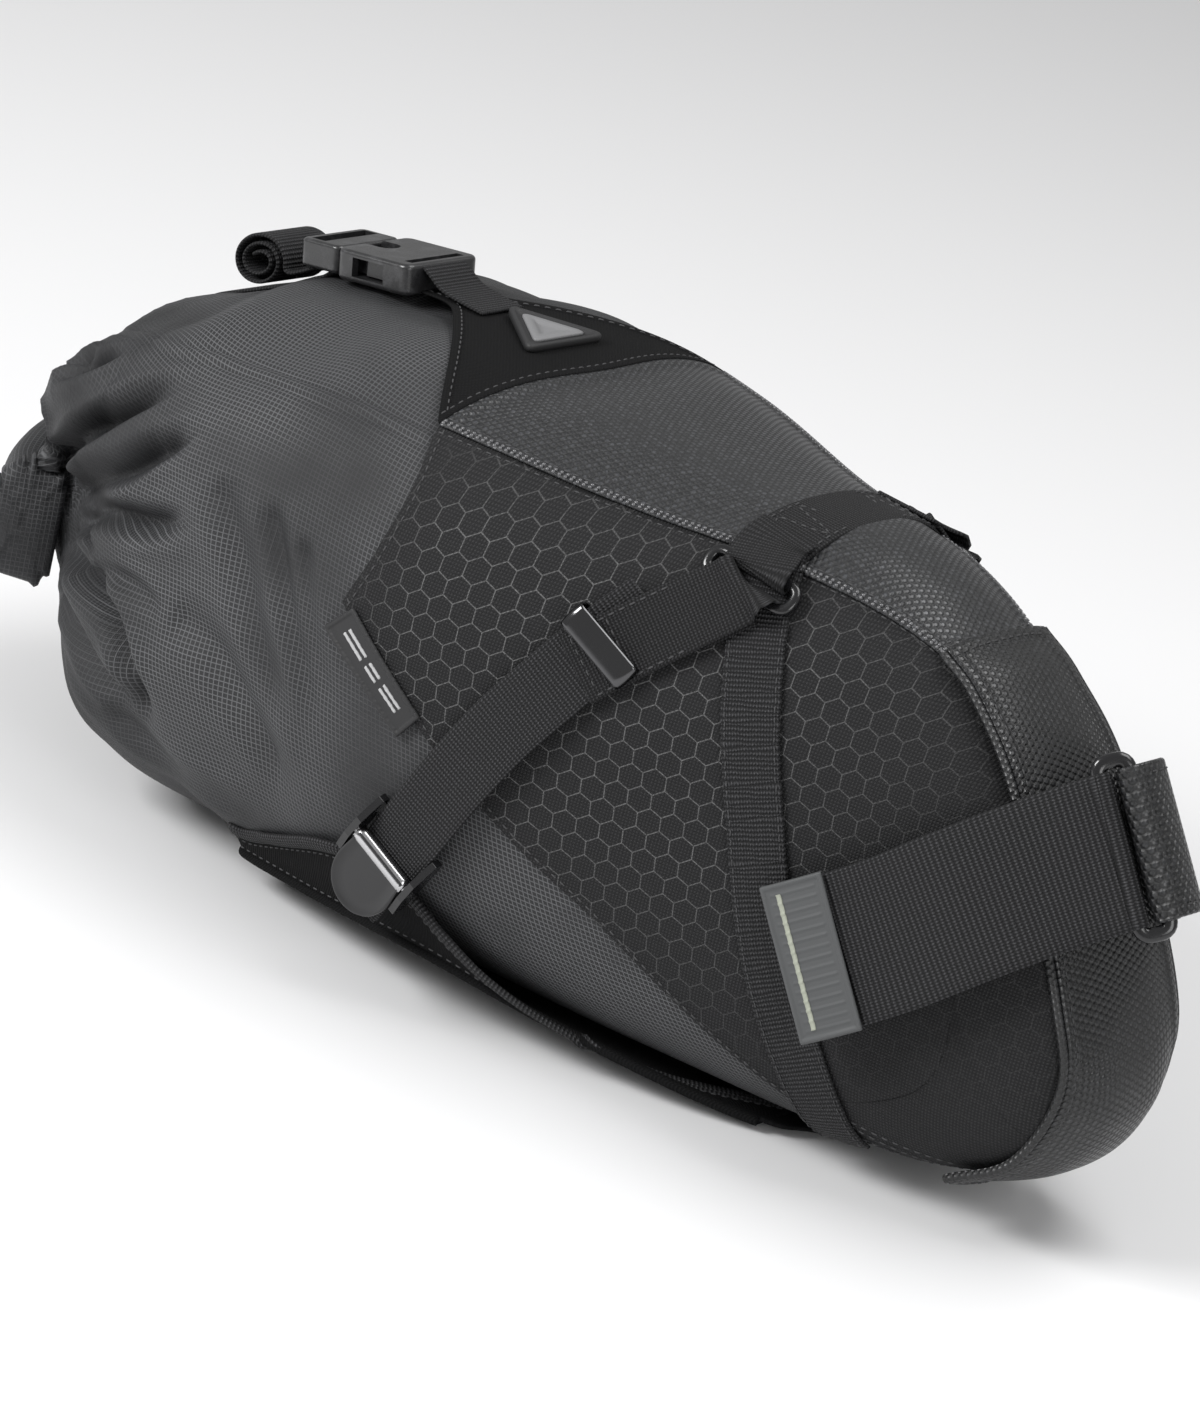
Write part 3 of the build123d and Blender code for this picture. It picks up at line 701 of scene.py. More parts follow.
def stitches(name, lines, material=THREAD, body="bag", size=STITCH):
    """Rows of short stitches. Each line is (points, normals)."""
    length, radius, gap = size
    ring = circle(1.0, 1.0, 6)
    stations = [(-0.5, 0.35, -0.5), (-0.28, 1.0, 0.15), (0.28, 1.0, 0.15), (0.5, 0.35, -0.5)]
    points = []
    faces = []
    for line, normals in lines:
        run = run_along(line)
        count = int(run[-1] // (length + gap))
        for k in range(count):
            at = (k + 0.5) * (length + gap)
            c = np.array([np.interp(at, run, line[:, i]) for i in range(3)])
            n = unit(np.array([np.interp(at, run, normals[:, i]) for i in range(3)]))
            ahead = np.array([np.interp(at + 1, run, line[:, i]) for i in range(3)])
            t = unit(ahead - c)
            s = np.cross(n, t)
            start = len(points)
            for along, scale, out in stations:
                for a, b in ring:
                    points.append(c + t * along * length + s * a * radius * scale
                                  + n * (b * scale + out) * radius)
            for q in range(3):
                for j in range(6):
                    m = (j + 1) % 6
                    faces.append((start + q * 6 + j, start + q * 6 + m,
                                  start + q * 6 + 6 + m, start + q * 6 + 6 + j))
            faces.append(tuple(start + j for j in range(5, -1, -1)))
            faces.append(tuple(start + 18 + j for j in range(6)))
    made = new_object(name, points, faces, np.zeros((len(points), 2)), material)
    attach(made, body)
    return made


def flip(points):
    """The mirror image on the other side of the bag."""
    return np.asarray(points, float) * (1, -1, 1)


# ---- panels sewn on the hull ----
def patch(top, bottom, start, end, rows, columns):
    """A grid of places on the hull between four edges, as fractions along and around it.
    top and bottom run the same way; start joins their first points and end their last."""
    def edge(points, count):
        where = np.array([locate(p) for p in points])
        where[:, 1] = np.where(where[:, 1] > 0.6, where[:, 1] - 1, where[:, 1])
        scale = np.array([438.0, 600.0])
        return curve(where * scale, count) / scale
    t, b = edge(top, columns), edge(bottom, columns)
    s, e = edge(start, rows), edge(end, rows)
    v = np.linspace(0, 1, rows)[:, None, None]
    u = np.linspace(0, 1, columns)[None, :, None]
    corners = ((1 - u) * (1 - v) * t[0] + u * (1 - v) * t[-1] + (1 - u) * v * b[0]
               + u * v * b[-1])
    return (1 - v) * t[None] + v * b[None] + (1 - u) * s[:, None] + u * e[:, None] - corners


def edge_distance(grid):
    """Distance in mm from each grid point to the nearest of the grid's four edges."""
    uv = arc_coordinates(grid)
    u, v = uv[..., 0], uv[..., 1]
    return np.minimum(np.minimum(u, u[-1:] - u), np.minimum(v - v[:, :1], v[:, -1:] - v))


def inset(grid, normals, side, distance):
    """A line on a grid at a distance from one edge: 0, 1 first and last row, 2, 3 columns."""
    if side in (1, 3):
        grid = np.flip(grid, 0 if side == 1 else 1)
        normals = np.flip(normals, 0 if side == 1 else 1)
    if side in (2, 3):
        grid = grid.transpose(1, 0, 2)
        normals = normals.transpose(1, 0, 2)
    run = np.concatenate([np.zeros((1, grid.shape[1])),
                          np.cumsum(np.linalg.norm(np.diff(grid, axis=0), axis=-1), 0)])
    line = []
    along = []
    for j in range(grid.shape[1]):
        line.append([np.interp(distance, run[:, j], grid[:, j, k]) for k in range(3)])
        along.append([np.interp(distance, run[:, j], normals[:, j, k]) for k in range(3)])
    return np.array(line), unit(np.array(along))


def panel(name, fractions, material, thickness=1.0, lift=PANEL_LIFT, hem=0.5, uvs=None,
          mirror=False, puff=0.0):
    """A sewn panel: an outer face on the hull with a raised turned hem along its edges."""
    base, normals = hull_at(fractions[..., 0], fractions[..., 1])
    if mirror:
        base, normals = flip(base), flip(normals)
    distance = edge_distance(base)
    groove = 0.25 * np.exp(-((distance - 3.4) / 0.6) ** 2)
    fold = hem * (1 - smoothstep(3.2, 4.6, distance)) - groove
    swell = puff * smoothstep(4.0, 30.0, distance)
    outer = base + normals * (lift + fold + swell)[..., None]
    across = {"side": 2, "top": 1}.get(uvs)
    flat = None if across is None else np.stack([base[..., 0], base[..., across]], -1)
    made = slab(name, outer, normals, thickness, material, flat)
    return made, outer, normals


TOP_SEAM = [(-46, 70), (0, 60), (30, 51), (64, 41), (100, 34), (141, 24)]
SIDE_EDGE = [(-42, 131), (3, 97), (25, 84), (57, 56), (89, 34), (123, 15), (150, 9), (195, 18)]
NOSE_EDGE = [(141, -24, 180), (158, -24, 171), (184, -26, 147), (219, -28, 92), (227, -26, 65),
             (217, -27, 35), (195, -29, 18)]
SIDE_PANEL = patch([top_point(x, -y) for x, y in TOP_SEAM],
                   [side_point(x, z) for x, z in SIDE_EDGE],
                   [top_point(-46, -70), side_point(-37, 172), side_point(-37, 151),
                    side_point(-42, 131)],
                   NOSE_EDGE, 110, 150)
panels = {}
for mirror, end in ((False, "right"), (True, "left")):
    piece, outer, normals = panel("side_panel_cloth_" + end, SIDE_PANEL, HEX_PRINT, uvs="side",
                                  mirror=mirror, hem=0.35)
    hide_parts("side_panel_" + end)
    panels["side_" + end] = (outer, normals)
    stitches("side_panel_stitches_" + end,
             [inset(outer, normals, side, 2.6) for side in (0, 1, 2)])

# ---- top panel, yoke and nose gusset ----
YOKE_SEAM = [top_point(x, y) for x, y in ((-46, -70), (-43, -35), (-40, 0), (-43, 35), (-46, 70))]
TOP_PANEL = patch([top_point(x, -y) for x, y in TOP_SEAM], [top_point(x, y) for x, y in TOP_SEAM],
                  YOKE_SEAM,
                  [(141, -24, 180), top_point(143, 0), (141, 24, 180)], 110, 130)
piece, outer, normals = panel("top_panel_cloth", TOP_PANEL, COATED_TOP, uvs="top", lift=2.1,
                              hem=0.9, puff=1.2)
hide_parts("top_panel")
stitches("top_panel_stitches", [inset(outer, normals, side, 3.4) for side in (0, 1, 3)])
# rows of small raised beads along the seams, coloured lighter as painted glints
stitches("top_panel_glint_beads", [inset(outer, normals, side, reach) for side in (0, 1)
                             for reach in (0.7, 1.9)], GLINT_BEAD, size=(1.5, 0.62, 0.8))

yoke_edge = [top_point(-122, -10), top_point(-104, -11.5), top_point(-88, -25),
             top_point(-68, -46), top_point(-46, -70)]
YOKE = patch(yoke_edge, [flip(p) for p in yoke_edge],
             [top_point(-122, -10), top_point(-123, 0), top_point(-122, 10)],
             YOKE_SEAM, 90, 90)
piece, outer, normals = panel("yoke_cloth", YOKE, YOKE_TWILL, uvs="top", lift=2.6, hem=0.8)
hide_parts("top_yoke")
stitches("yoke_stitches", [inset(outer, normals, side, 3.4) for side in (0, 1, 3)])

NOSE_CENTRE = [(141, 0, 182), (160, 0, 174), (186, 0, 151), (211, 0, 112), (234, 0, 68),
               (233, 0, 47), (220, 0, 28), (195, 0, 14)]


def gusset_grid():
    """The strip over the nose, crowned between its two seams."""
    edge = curve(NOSE_EDGE, 170)
    middle_line = curve(NOSE_CENTRE, 170)
    across = np.linspace(-1, 1, 56)
    crown = 1 - np.abs(across) ** 2.6
    half = (edge * (0, -1, 0)).sum(1)
    grid = edge[:, None] * (1 - crown[None, :, None]) + middle_line[:, None] * crown[None, :, None]
    grid[..., 1] = half[:, None] * across[None]
    return grid


base = gusset_grid()
normals = grid_normals(base, False, base - np.array((150, 0, 95)))
distance = edge_distance(base)
outer = base + normals * (1.4 + 0.7 * (1 - smoothstep(3.0, 4.2, distance)))[..., None]
piece = slab("nose_gusset_cloth", outer, normals, 1.2, COATED_NOSE)
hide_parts("nose_gusset")
stitches("nose_gusset_stitches", [inset(outer, normals, side, 3.2) for side in (0, 1, 2)])

PIPE = circle(1.6, 1.6, 10)
for sign, end in ((1, "right"), (-1, "left")):
    line = curve(NOSE_EDGE, 160) + (0, -1.6, 0)
    tangents = heading(line)
    sides = np.repeat([[0.0, 1.0, 0.0]], len(line), 0)
    normals = unit(np.cross(tangents, sides))
    if sign < 0:
        line, normals, sides = flip(line), flip(normals), flip(sides)
    piece = sweep("nose_piping_cord_" + end, line, sides, normals, PIPE, COATED_NOSE)
    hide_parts("nose_piping_" + end)


# ---- the main shell, gathered into the roll at the rear ----
def roll_x(y, inward):
    """Where the rolled closure's bend runs at a distance across, moved inward from its middle."""
    return ROLL_REAR + ROLL_ARC - math.sqrt((ROLL_ARC - inward) ** 2 - y * y)


def fold(points, path, width, depth, rise=0.35, fade=(0.1, 0.25)):
    """Displacement of a valley along a path, with low ridges beside it, fading at its two ends."""
    line = curve(path, 60)
    offset = points[:, None] - line[None]
    distance = np.linalg.norm(offset, axis=-1)
    nearest = distance.argmin(1)
    d = distance[np.arange(len(points)), nearest]
    t = nearest / (len(line) - 1)
    strength = smoothstep(0, fade[0], t) * (1 - smoothstep(1 - fade[1], 1, t))
    valley = -1.5 * depth * np.exp(-(d / width) ** 1.4)
    ridge = depth * rise * np.exp(-((d - 1.8 * width) / (0.8 * width)) ** 2)
    return (valley + ridge) * np.maximum(strength, 0.0)


# Each fold: points (x, height) on the side, half width, depth.
SIDE_FOLDS = [
    ([(-206, 90), (-186, 100), (-166, 112), (-140, 119), (-112, 131)], 4.6, 8.0),
    ([(-208, 98), (-180, 114), (-156, 131), (-139, 148), (-118, 160)], 4.4, 7.0),
    ([(-210, 106), (-192, 122), (-172, 143), (-153, 165), (-136, 180)], 4.2, 8.0),
    ([(-212, 112), (-207, 130), (-195, 151), (-178, 173)], 4.0, 8.5),
    ([(-205, 84), (-178, 88), (-152, 84), (-135, 74), (-125, 56)], 4.6, 8.5),
    ([(-204, 76), (-184, 70), (-165, 64), (-146, 55), (-128, 50)], 5.0, 6.0),
    ([(-200, 68), (-186, 50), (-170, 36), (-150, 26)], 5.0, 5.5),
    ([(-196, 60), (-190, 40), (-180, 24)], 5.0, 4.0),
    ([(-214, 118), (-212, 134), (-205, 150), (-196, 160)], 3.4, 7.0),
    ([(-198, 94), (-186, 97), (-172, 100), (-160, 99)], 3.0, 4.5),
    ([(-160, 92), (-146, 96), (-132, 96), (-120, 92)], 3.4, 3.0),
    ([(-108, 150), (-92, 128), (-74, 100), (-58, 76)], 6.0, 2.4),
    ([(-86, 150), (-72, 130), (-56, 106), (-40, 84)], 4.5, 2.4),
    ([(-68, 145), (-60, 128), (-48, 108), (-34, 90)], 3.5, 2.0),
    ([(-118, 96), (-96, 92), (-74, 76), (-52, 52)], 7.0, 2.6),
    ([(-150, 44), (-122, 36), (-90, 34), (-60, 30)], 6.0, 3.0),
]
PIT = (-126, 57)
SEAM = [(-221, 51), (-190, 72), (-159, 82), (-134, 82), (-108, 81), (-86, 80), (-69, 77),
        (-48, 74)]
NECK_RINGS = 70
NECK_HALF_WIDTH = 84      # where the shell goes into the roll
NECK_HALF_HEIGHT = 11


def body_grid():
    """The shell's rings, from the roll forward."""
    start = np.searchsorted(HULL[:, 0, 0], NECK_START)
    first, second = HULL[start], HULL[start + 3]
    low, high = first.min(0), first.max(0)
    y = first[:, 1] / high[1]
    z = (first[:, 2] - (low[2] + high[2]) / 2) / ((high[2] - low[2]) / 2)
    over = smoothstep(-0.2, 0.7, z)
    end = np.stack([[roll_x(NECK_HALF_WIDTH * v, 10) for v in y] - 5 * over,
                    NECK_HALF_WIDTH * y, ROLL_HEIGHT + NECK_HALF_HEIGHT * z + 8 * over], 1)
    reach = np.linalg.norm(end - first, axis=1, keepdims=True)
    t0 = unit(first - second) * reach * (1.1 + 0.6 * over)[:, None]
    t1 = unit(np.stack([-0.35 * over - (1 - over), 0.0 * y, -0.45 * z - 0.6 * over], 1))
    t1 = t1 * reach * 0.8
    neck = []
    for k in range(NECK_RINGS, 0, -1):
        t = k / NECK_RINGS
        neck.append(first * (2 * t**3 - 3 * t**2 + 1) + t0 * (t**3 - 2 * t**2 + t)
                    + end * (3 * t**2 - 2 * t**3) + t1 * (t**3 - t**2))
    return np.concatenate([np.array(neck), HULL[start:]])


def shell_displacement(grid):
    """How far the shell's cloth stands out from its smooth form, in mm."""
    points = grid.reshape(-1, 3)
    height = np.zeros(len(points))
    around = np.tile(np.arange(AROUND) / AROUND, len(grid))
    ring = np.arange(len(grid), dtype=float)
    gather = np.repeat(1 - smoothstep(0, NECK_RINGS * 1.25, ring), AROUND)
    swirl = around * 2 * math.pi + gather * 0.9
    pleats = np.zeros(len(points))
    for count, size, turn in ((9, 1.0, 0.3), (14, 0.7, 1.3), (23, 0.4, 0.4)):
        pleats += size * (1 - 1.9 * np.abs(np.sin(count / 2 * swirl + turn)) ** 0.6)
    height += 3.4 * gather**1.3 * pleats
    for side in (-1, 1):
        near = np.flatnonzero(points[:, 1] * side > 15)
        local = points[near]
        for path, width, depth in SIDE_FOLDS:
            shift = 0 if side < 0 else 9
            line = []
            for x, z in path:
                y = side * (np.interp(x, [-210, -190, -150, -90, 0], [80, 92, 104, 106, 100]))
                rise = abs(z - 97) / 97
                line.append((x + shift * 0.4, y * (1 - 0.25 * rise**4), z - shift * 0.6))
            height[near] += fold(local, line, width, depth)
        pit = np.array((PIT[0], side * 106, PIT[1]))
        distance = np.linalg.norm((local - pit) * (1, 1, 0.6), axis=1)
        height[near] -= 9.0 * np.exp(-(distance / 5.0) ** 2)
    rear = 1 - smoothstep(-120, -40, points[:, 0])
    soft = np.zeros(len(points))
    for _ in range(SOFT_WAVES):
        direction = unit(rng.normal(size=3) * (1.0, 0.7, 1.2))
        length = rng.uniform(26, 80)
        phase = rng.uniform(0, 6.28)
        soft += np.sin(points @ direction * 2 * math.pi / length + phase) * length / 80
    height += soft * (0.22 + 0.6 * rear)
    for side in (-1, 1):
        path = curve([top_point(x, side * y) if x > -205 else (x, side * y, 147)
                      for x, y in SEAM], 240)
        near = np.flatnonzero((points[:, 1] * side > 30) & (points[:, 2] > 120)
                              & (points[:, 0] < -40))
        d = np.linalg.norm(points[near][:, None] - path[None], axis=-1).min(1)
        height[near] += 0.9 * np.exp(-(d / 2.2) ** 2) - 0.8 * np.exp(-((d - 3.0) / 0.9) ** 2)
    flat = smoothstep(2, 26, points[:, 2])
    front = 1 - smoothstep(-60, -20, points[:, 0])
    return (height * flat * (0.15 + 0.85 * front)).reshape(grid.shape[:2])


body = body_grid()
body_n = grid_normals(body, True, body - body.mean(1, keepdims=True))
displaced = body + body_n * shell_displacement(body)[..., None]
around = np.linalg.norm(np.roll(body, -1, 1) - body, axis=-1)
around = np.concatenate([np.zeros((len(body), 1)), np.cumsum(around, 1)], 1)
along = np.linalg.norm(np.diff(body[::-1], axis=0), axis=-1)
along = np.concatenate([np.zeros((1, AROUND)), np.cumsum(along, 0)])[::-1]
seam_column = np.hstack([displaced, displaced[:, :1]])
shell_uv = np.stack([-np.hstack([along, along[:, :1]]),
                     around - around[:, [AROUND // 4]]], -1)
faces = grid_faces(len(body), AROUND + 1, False)
shell = new_object("main_shell", seam_column.reshape(-1, 3), faces, shell_uv.reshape(-1, 2),
                   RIPSTOP)
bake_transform(shell)
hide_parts("main_bag")

# ---- webbing sewn on, rings, rail straps, clips and cam levers ----
UPRIGHT = [(79, 183), (84, 172), (97, 143), (109, 113), (123, 78), (139, 48), (156, 15)]
CROSS = [(74, -46, 189), (74, -30, 196), (74, 0, 198), (74, 30, 196), (74, 46, 189)]
for sign, end in ((-1, "right"), (1, "left")):
    path = [side_point(x, z, sign) for x, z in UPRIGHT]
    piece, line, sides, normals = draped_strap("side_strap_web_" + end, path, SIDE_WEBBING,
                                               SEWN_LIFT, RIBBED)
    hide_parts("side_strap_" + end)
    edge = SIDE_WEBBING / 2 - 1.6
    stitches("side_strap_stitches_" + end,
             [(line + sides * edge * k + normals * WEB_THICK / 2, normals) for k in (-1, 1)],
             size=(2.0, 0.22, 1.2))
piece, line, sides, normals = draped_strap("crosspiece_web", CROSS, WEBBING, SEWN_LIFT, PLAIN_WEB)
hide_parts("crosspiece")
box_rows = []
for first, last in ((4, 22), (len(line) - 22, len(line) - 4)):
    rows = np.arange(first, last)
    swing = 9.5 * np.sin(np.linspace(0, 5 * math.pi, len(rows)))[:, None]
    for reach in (-10.4, 10.4, swing):
        box_rows.append((line[rows] + sides[rows] * reach + normals[rows] * 0.65, normals[rows]))
piece = stitches("crosspiece_stitches", box_rows)


def ribbon(name, points, across, width, thickness, material, body="bag", smooth=True):
    """Webbing along a line, flat across its width; across is its sideways direction."""
    rough = curve(points, 200) if smooth else np.asarray(points, float)
    length = np.linalg.norm(np.diff(rough, axis=0), axis=1).sum()
    line = resample(rough, max(16, int(length / 1.2)))
    tangents = heading(line)
    across = np.asarray(across, float)
    if across.ndim == 2:
        place = np.linspace(0, 1, len(across))
        across = np.stack([np.interp(np.linspace(0, 1, len(line)), place, across[:, k])
                           for k in range(3)], 1)
    sides = unit(across - tangents * (tangents * across).sum(1, keepdims=True))
    normals = np.cross(tangents, sides)
    piece = sweep(name, line, sides, normals, strap_section(width, thickness), material, body)
    return piece, line, sides, normals


class Place:
    """A local frame in millimetres: x along, y across, z out."""

    def __init__(self, origin, along, out):
        self.origin = np.asarray(origin, float)
        self.z = unit(np.asarray(out, float))
        along = np.asarray(along, float)
        self.x = unit(along - self.z * (along @ self.z))
        self.y = np.cross(self.z, self.x)

    def at(self, points):
        p = np.asarray(points, float)
        return self.origin + p[..., :1] * self.x + p[..., 1:2] * self.y + p[..., 2:3] * self.z


def rounded(corners, radius, steps=7):
    """A closed outline with its corners rounded."""
    corners = np.asarray(corners, float)
    made = []
    for k, corner in enumerate(corners):
        before = unit(corners[k - 1] - corner)
        after = unit(corners[(k + 1) % len(corners)] - corner)
        half = math.acos(np.clip(before @ after, -1, 1)) / 2
        reach = min(radius / math.tan(half), 0.49 * min(
            np.linalg.norm(corners[k - 1] - corner),
            np.linalg.norm(corners[(k + 1) % len(corners)] - corner)))
        start, end = corner + before * reach, corner + after * reach
        for t in np.linspace(0, 1, steps):
            made.append((1 - t) ** 2 * start + 2 * t * (1 - t) * corner + t * t * end)
    return np.array(made)


def stack(name, outline, place, rings, material, body="bag"):
    """A moulded plate: the outline shrunk towards its middle at each (scale, height)."""
    outline = np.asarray(outline, float)
    centre = outline.mean(0)
    points = []
    flats = []
    for scale, height in rings:
        flat = centre + (outline - centre) * scale
        flats.append(flat)
        points.append(place.at(np.hstack([flat, np.full((len(flat), 1), height)])))
    return closed_form(name, np.array(points), np.vstack(flats), material, body)


def wire_ring(name, place, size, corner, section, material, body="bag"):
    """A closed ring of oval section round a rounded rectangle; section is (width, height)."""
    half_x = (size[0] - section[0]) / 2
    half_y = (size[1] - section[0]) / 2
    outline = resample(rounded([(-half_x, -half_y), (half_x, -half_y), (half_x, half_y),
                                (-half_x, half_y)], corner), 120, closed=True)
    line = place.at(np.hstack([outline, np.zeros((120, 1))]))
    tangents = unit(np.roll(line, -1, 0) - np.roll(line, 1, 0))
    normals = np.repeat(place.z[None], 120, 0)
    sides = np.cross(normals, tangents)
    angle = np.linspace(0, 2 * np.pi, 16, endpoint=False)
    cosine, sine = squared(angle, 2 / 2.6)
    oval = np.stack([section[0] / 2 * cosine, section[1] / 2 * sine], 1)
    return sweep(name, line, sides, normals, oval, material, body, closed=True)


def lifted(points, side=-1):
    """Places on the hull's side from (x, height, lift)."""
    base = np.array([side_point(x, z, side) for x, z, _ in points])
    placed, _ = on_hull(base, [lift for _, _, lift in points])
    return placed


ring_spot, ring_out = on_hull([(77.5, -50, 184)], 4.6)
RING_PLACE = Place(ring_spot[0], (1, 0.1, -0.05), ring_out[0])
RING_BAR = 4.3            # from the ring's middle to each of its long bars
CLIP_PLACE = Place(lifted([(44.5, 148.5, 0)])[0], (21, 0, 36), (0.36, -0.88, 0.27))
CAM_PLACE = Place(side_point(-2.5, 58), (30, 0, 53), (0.14, -0.985, -0.06))


def both(piece, node, body="bag"):
    """Makes a right-hand piece again on the left, each in place of its own CAD node."""
    mesh = piece.data.copy()
    flat = np.zeros(len(mesh.vertices) * 3)
    mesh.vertices.foreach_get("co", flat)
    flat[1::3] *= -1
    mesh.vertices.foreach_set("co", flat)
    mesh.flip_normals()
    twin = in_scene(bpy.data.objects.new(piece.name.replace("right", "left"), mesh))
    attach(twin, body.replace("right", "left"))
    for made, end in ((piece, "right"), (twin, "left")):
        if node:
            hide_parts(node + "_" + end)


LOWER_BAR = RING_PLACE.at(np.array((0.0, -RING_BAR, 0.0)))
UPPER_BAR = RING_PLACE.at(np.array((0.0, RING_BAR, 0.0)))
PIN = (-3.0, 8.0)
LEVER_REACH = 24.0
LEVER_HALF = 12.6
piece = wire_ring("rail_ring_loop_right", RING_PLACE, (37, 2 * RING_BAR + 3.8), 4.2, (3.8, 3.4),
                  GLOSS)
both(piece, "rail_ring")

# the strap's sewn end, folded over the ring's lower bar
low_spot = CLIP_PLACE.origin - CLIP_PLACE.x * 12
toward = unit(LOWER_BAR - low_spot)
over, _ = on_hull([low_spot + (LOWER_BAR - low_spot) * t for t in (0.0, 0.25, 0.5, 0.75, 0.92)],
                  [4.6, 5.4, 5.4, 5.6, 6.6])
under, _ = on_hull([LOWER_BAR - toward * 7, LOWER_BAR - toward * 18], [3.2, 3.4])
bend = [LOWER_BAR + RING_PLACE.z * 2.8, LOWER_BAR + toward * 2.6 + RING_PLACE.z * 1.0,
        LOWER_BAR + toward * 1.8 - RING_PLACE.z * 2.0]
path = list(over) + bend + list(under)
turned = CLIP_PLACE.y if CLIP_PLACE.y @ RING_PLACE.x > 0 else -CLIP_PLACE.y
lean_across = np.array([turned, turned, unit(turned + RING_PLACE.x), RING_PLACE.x,
                        unit(turned + RING_PLACE.x)])
piece, line, sides, normals = ribbon("rail_strap_web_right", path, lean_across, WEBBING - 0.5,
                                     WEB_THICK, PLAIN_WEB)
both(piece, "rail_strap")
outward = 1.0 if normals[8] @ (0, -1, 0) > 0 else -1.0
piece = stitches("rail_strap_stitches_right", [
    (line[2:34] + sides[2:34] * k + normals[2:34] * outward * 0.65, normals[2:34] * outward)
    for k in (-10.6, 10.6)] + [
    (line[m] + sides[m] * np.linspace(-10.6, 10.6, 12)[:, None] + normals[m] * outward * 0.65,
     np.repeat(normals[m][None] * outward, 12, 0)) for m in (3, 14)])
both(piece, None)

# the running strap from under the keeper clip down to the cam buckle
down = [(53, 163, 3.6), (44.5, 148.5, 4.2), (35, 132, 4.6), (24, 113, 4.8), (13, 90, 5.0),
        (4, 70, 5.6), (-3, 57, 5.2)]
piece, line, sides, normals = ribbon(
    "tail_strap_web_right", lifted(down), [CLIP_PLACE.y, CLIP_PLACE.y, CAM_PLACE.y, CAM_PLACE.y],
    WEBBING - 0.5, WEB_THICK, RIBBED)
both(piece, "tail_strap")

# keeper clip: a polished band bent round the strap
clip_half, clip_low, clip_high = 13.9, 1.6, 8.2
outline = resample(rounded([(-clip_half, clip_low), (clip_half, clip_low),
                            (clip_half, clip_high), (-clip_half, clip_high)], 1.8), 96, True)
line = CLIP_PLACE.at(np.stack([np.zeros(96), outline[:, 0], outline[:, 1]], 1))
tangents = unit(np.roll(line, -1, 0) - np.roll(line, 1, 0))
sides = np.repeat(CLIP_PLACE.x[None], 96, 0)
normals = np.cross(tangents, sides)
if (normals * (line - line.mean(0))).sum() < 0:
    normals = -normals
band = [(x, 1.0 - 0.5 * (x / 4.8) ** 2 if face else 0.0)
        for face, xs in ((1, np.linspace(-4.8, 4.8, 11)), (0, np.linspace(4.6, -4.6, 5)))
        for x in xs]
piece = sweep("keeper_clip_band_right", line, sides, normals, band, ENAMEL, "keeper_right",
              closed=True)
both(piece, "keeper_clip", "keeper_right")

# cam lever: a rounded tab with a raised rim on its hub
turn = np.linspace(-math.pi / 2, math.pi / 2, 30)
tab = np.array([(PIN[0] + 2.0, -LEVER_HALF + 0.8)] + [
    (PIN[0] - 9 - (LEVER_REACH - 9) * math.cos(t) ** 0.9, LEVER_HALF * math.sin(t)) for t in turn
] + [(PIN[0] + 2.0, LEVER_HALF - 0.8)])
tab = resample(tab, 90, closed=True)
z = PIN[1]
piece = stack("cam_lever_tab_right", tab, CAM_PLACE, [
    (0.92, z - 0.2), (0.985, z + 0.3), (1.0, z + 1.2), (1.0, z + 2.0), (0.975, z + 2.7),
    (0.93, z + 2.8), (0.90, z + 2.3), (0.6, z + 2.45), (0.2, z + 2.5),
], TAB_GREY, "lever_right")
both(piece, "cam_lever", "lever_right")
hub_line = CAM_PLACE.at(np.array([(PIN[0], v, z) for v in np.linspace(-12.3, 12.3, 12)]))
hub_ring = circle(2.9, 2.9, 28)
piece = sweep("cam_lever_hub_right", hub_line, np.repeat(CAM_PLACE.x[None], 12, 0),
              np.repeat(CAM_PLACE.z[None], 12, 0), hub_ring, STEEL, "lever_right")
both(piece, None, "lever_right")

# webbing tab that holds the buckle to the wing
bar = np.array((-12.0, 0.0, 6.0))
loop = [CAM_PLACE.at(bar + v) for v in (
    (-15, 0, -2.6), (-7, 0, -1.0), (-2.2, 0, 1.2), (0, 0, 2.3), (2.3, 0, 0), (0, 0, -2.3),
    (-6, 0, -3.0), (-15, 0, -4.0))]
piece, *_ = ribbon("buckle_tab_web_right", loop, CAM_PLACE.y, 22, 1.2, PLAIN_WEB)
both(piece, "buckle_tab")

# side tag: a rubber patch with a raised rim and a plain mark of three pairs of bars
corners = [side_point(x, z) for x, z in ((-46, 121), (-37, 131), (-10, 97), (-4, 106))]
u, v = np.meshgrid(np.linspace(0, 1, 130), np.linspace(0, 1, 44), indexing="ij")
u, v = u[..., None], v[..., None]
flat = ((1 - u) * (1 - v) * corners[0] + (1 - u) * v * corners[1] + u * (1 - v) * corners[2]
        + u * v * corners[3])
placed, normals = on_hull(flat)
distance = edge_distance(placed)
outer = placed + normals * (2.7 + 0.5 * (1 - smoothstep(0.8, 1.4, distance)))[..., None]
piece = slab("side_tag_rubber_right", outer, normals, 1.3, TAG)
both(piece, "side_tag")
marks = []
for first, last in ((16, 50), (56, 76), (82, 112)):
    rows = np.arange(first, last, 2)
    for low, high in ((17, 21), (25, 29)):
        marks.append((rows, low, high))
for number, (rows, low, high) in enumerate(marks):
    raised = outer[rows, low:high] + normals[rows, low:high] * 0.25
    piece = slab("side_tag_mark_%d_right" % number, raised, normals[rows, low:high], 0.5, PRINT)
    both(piece, None)

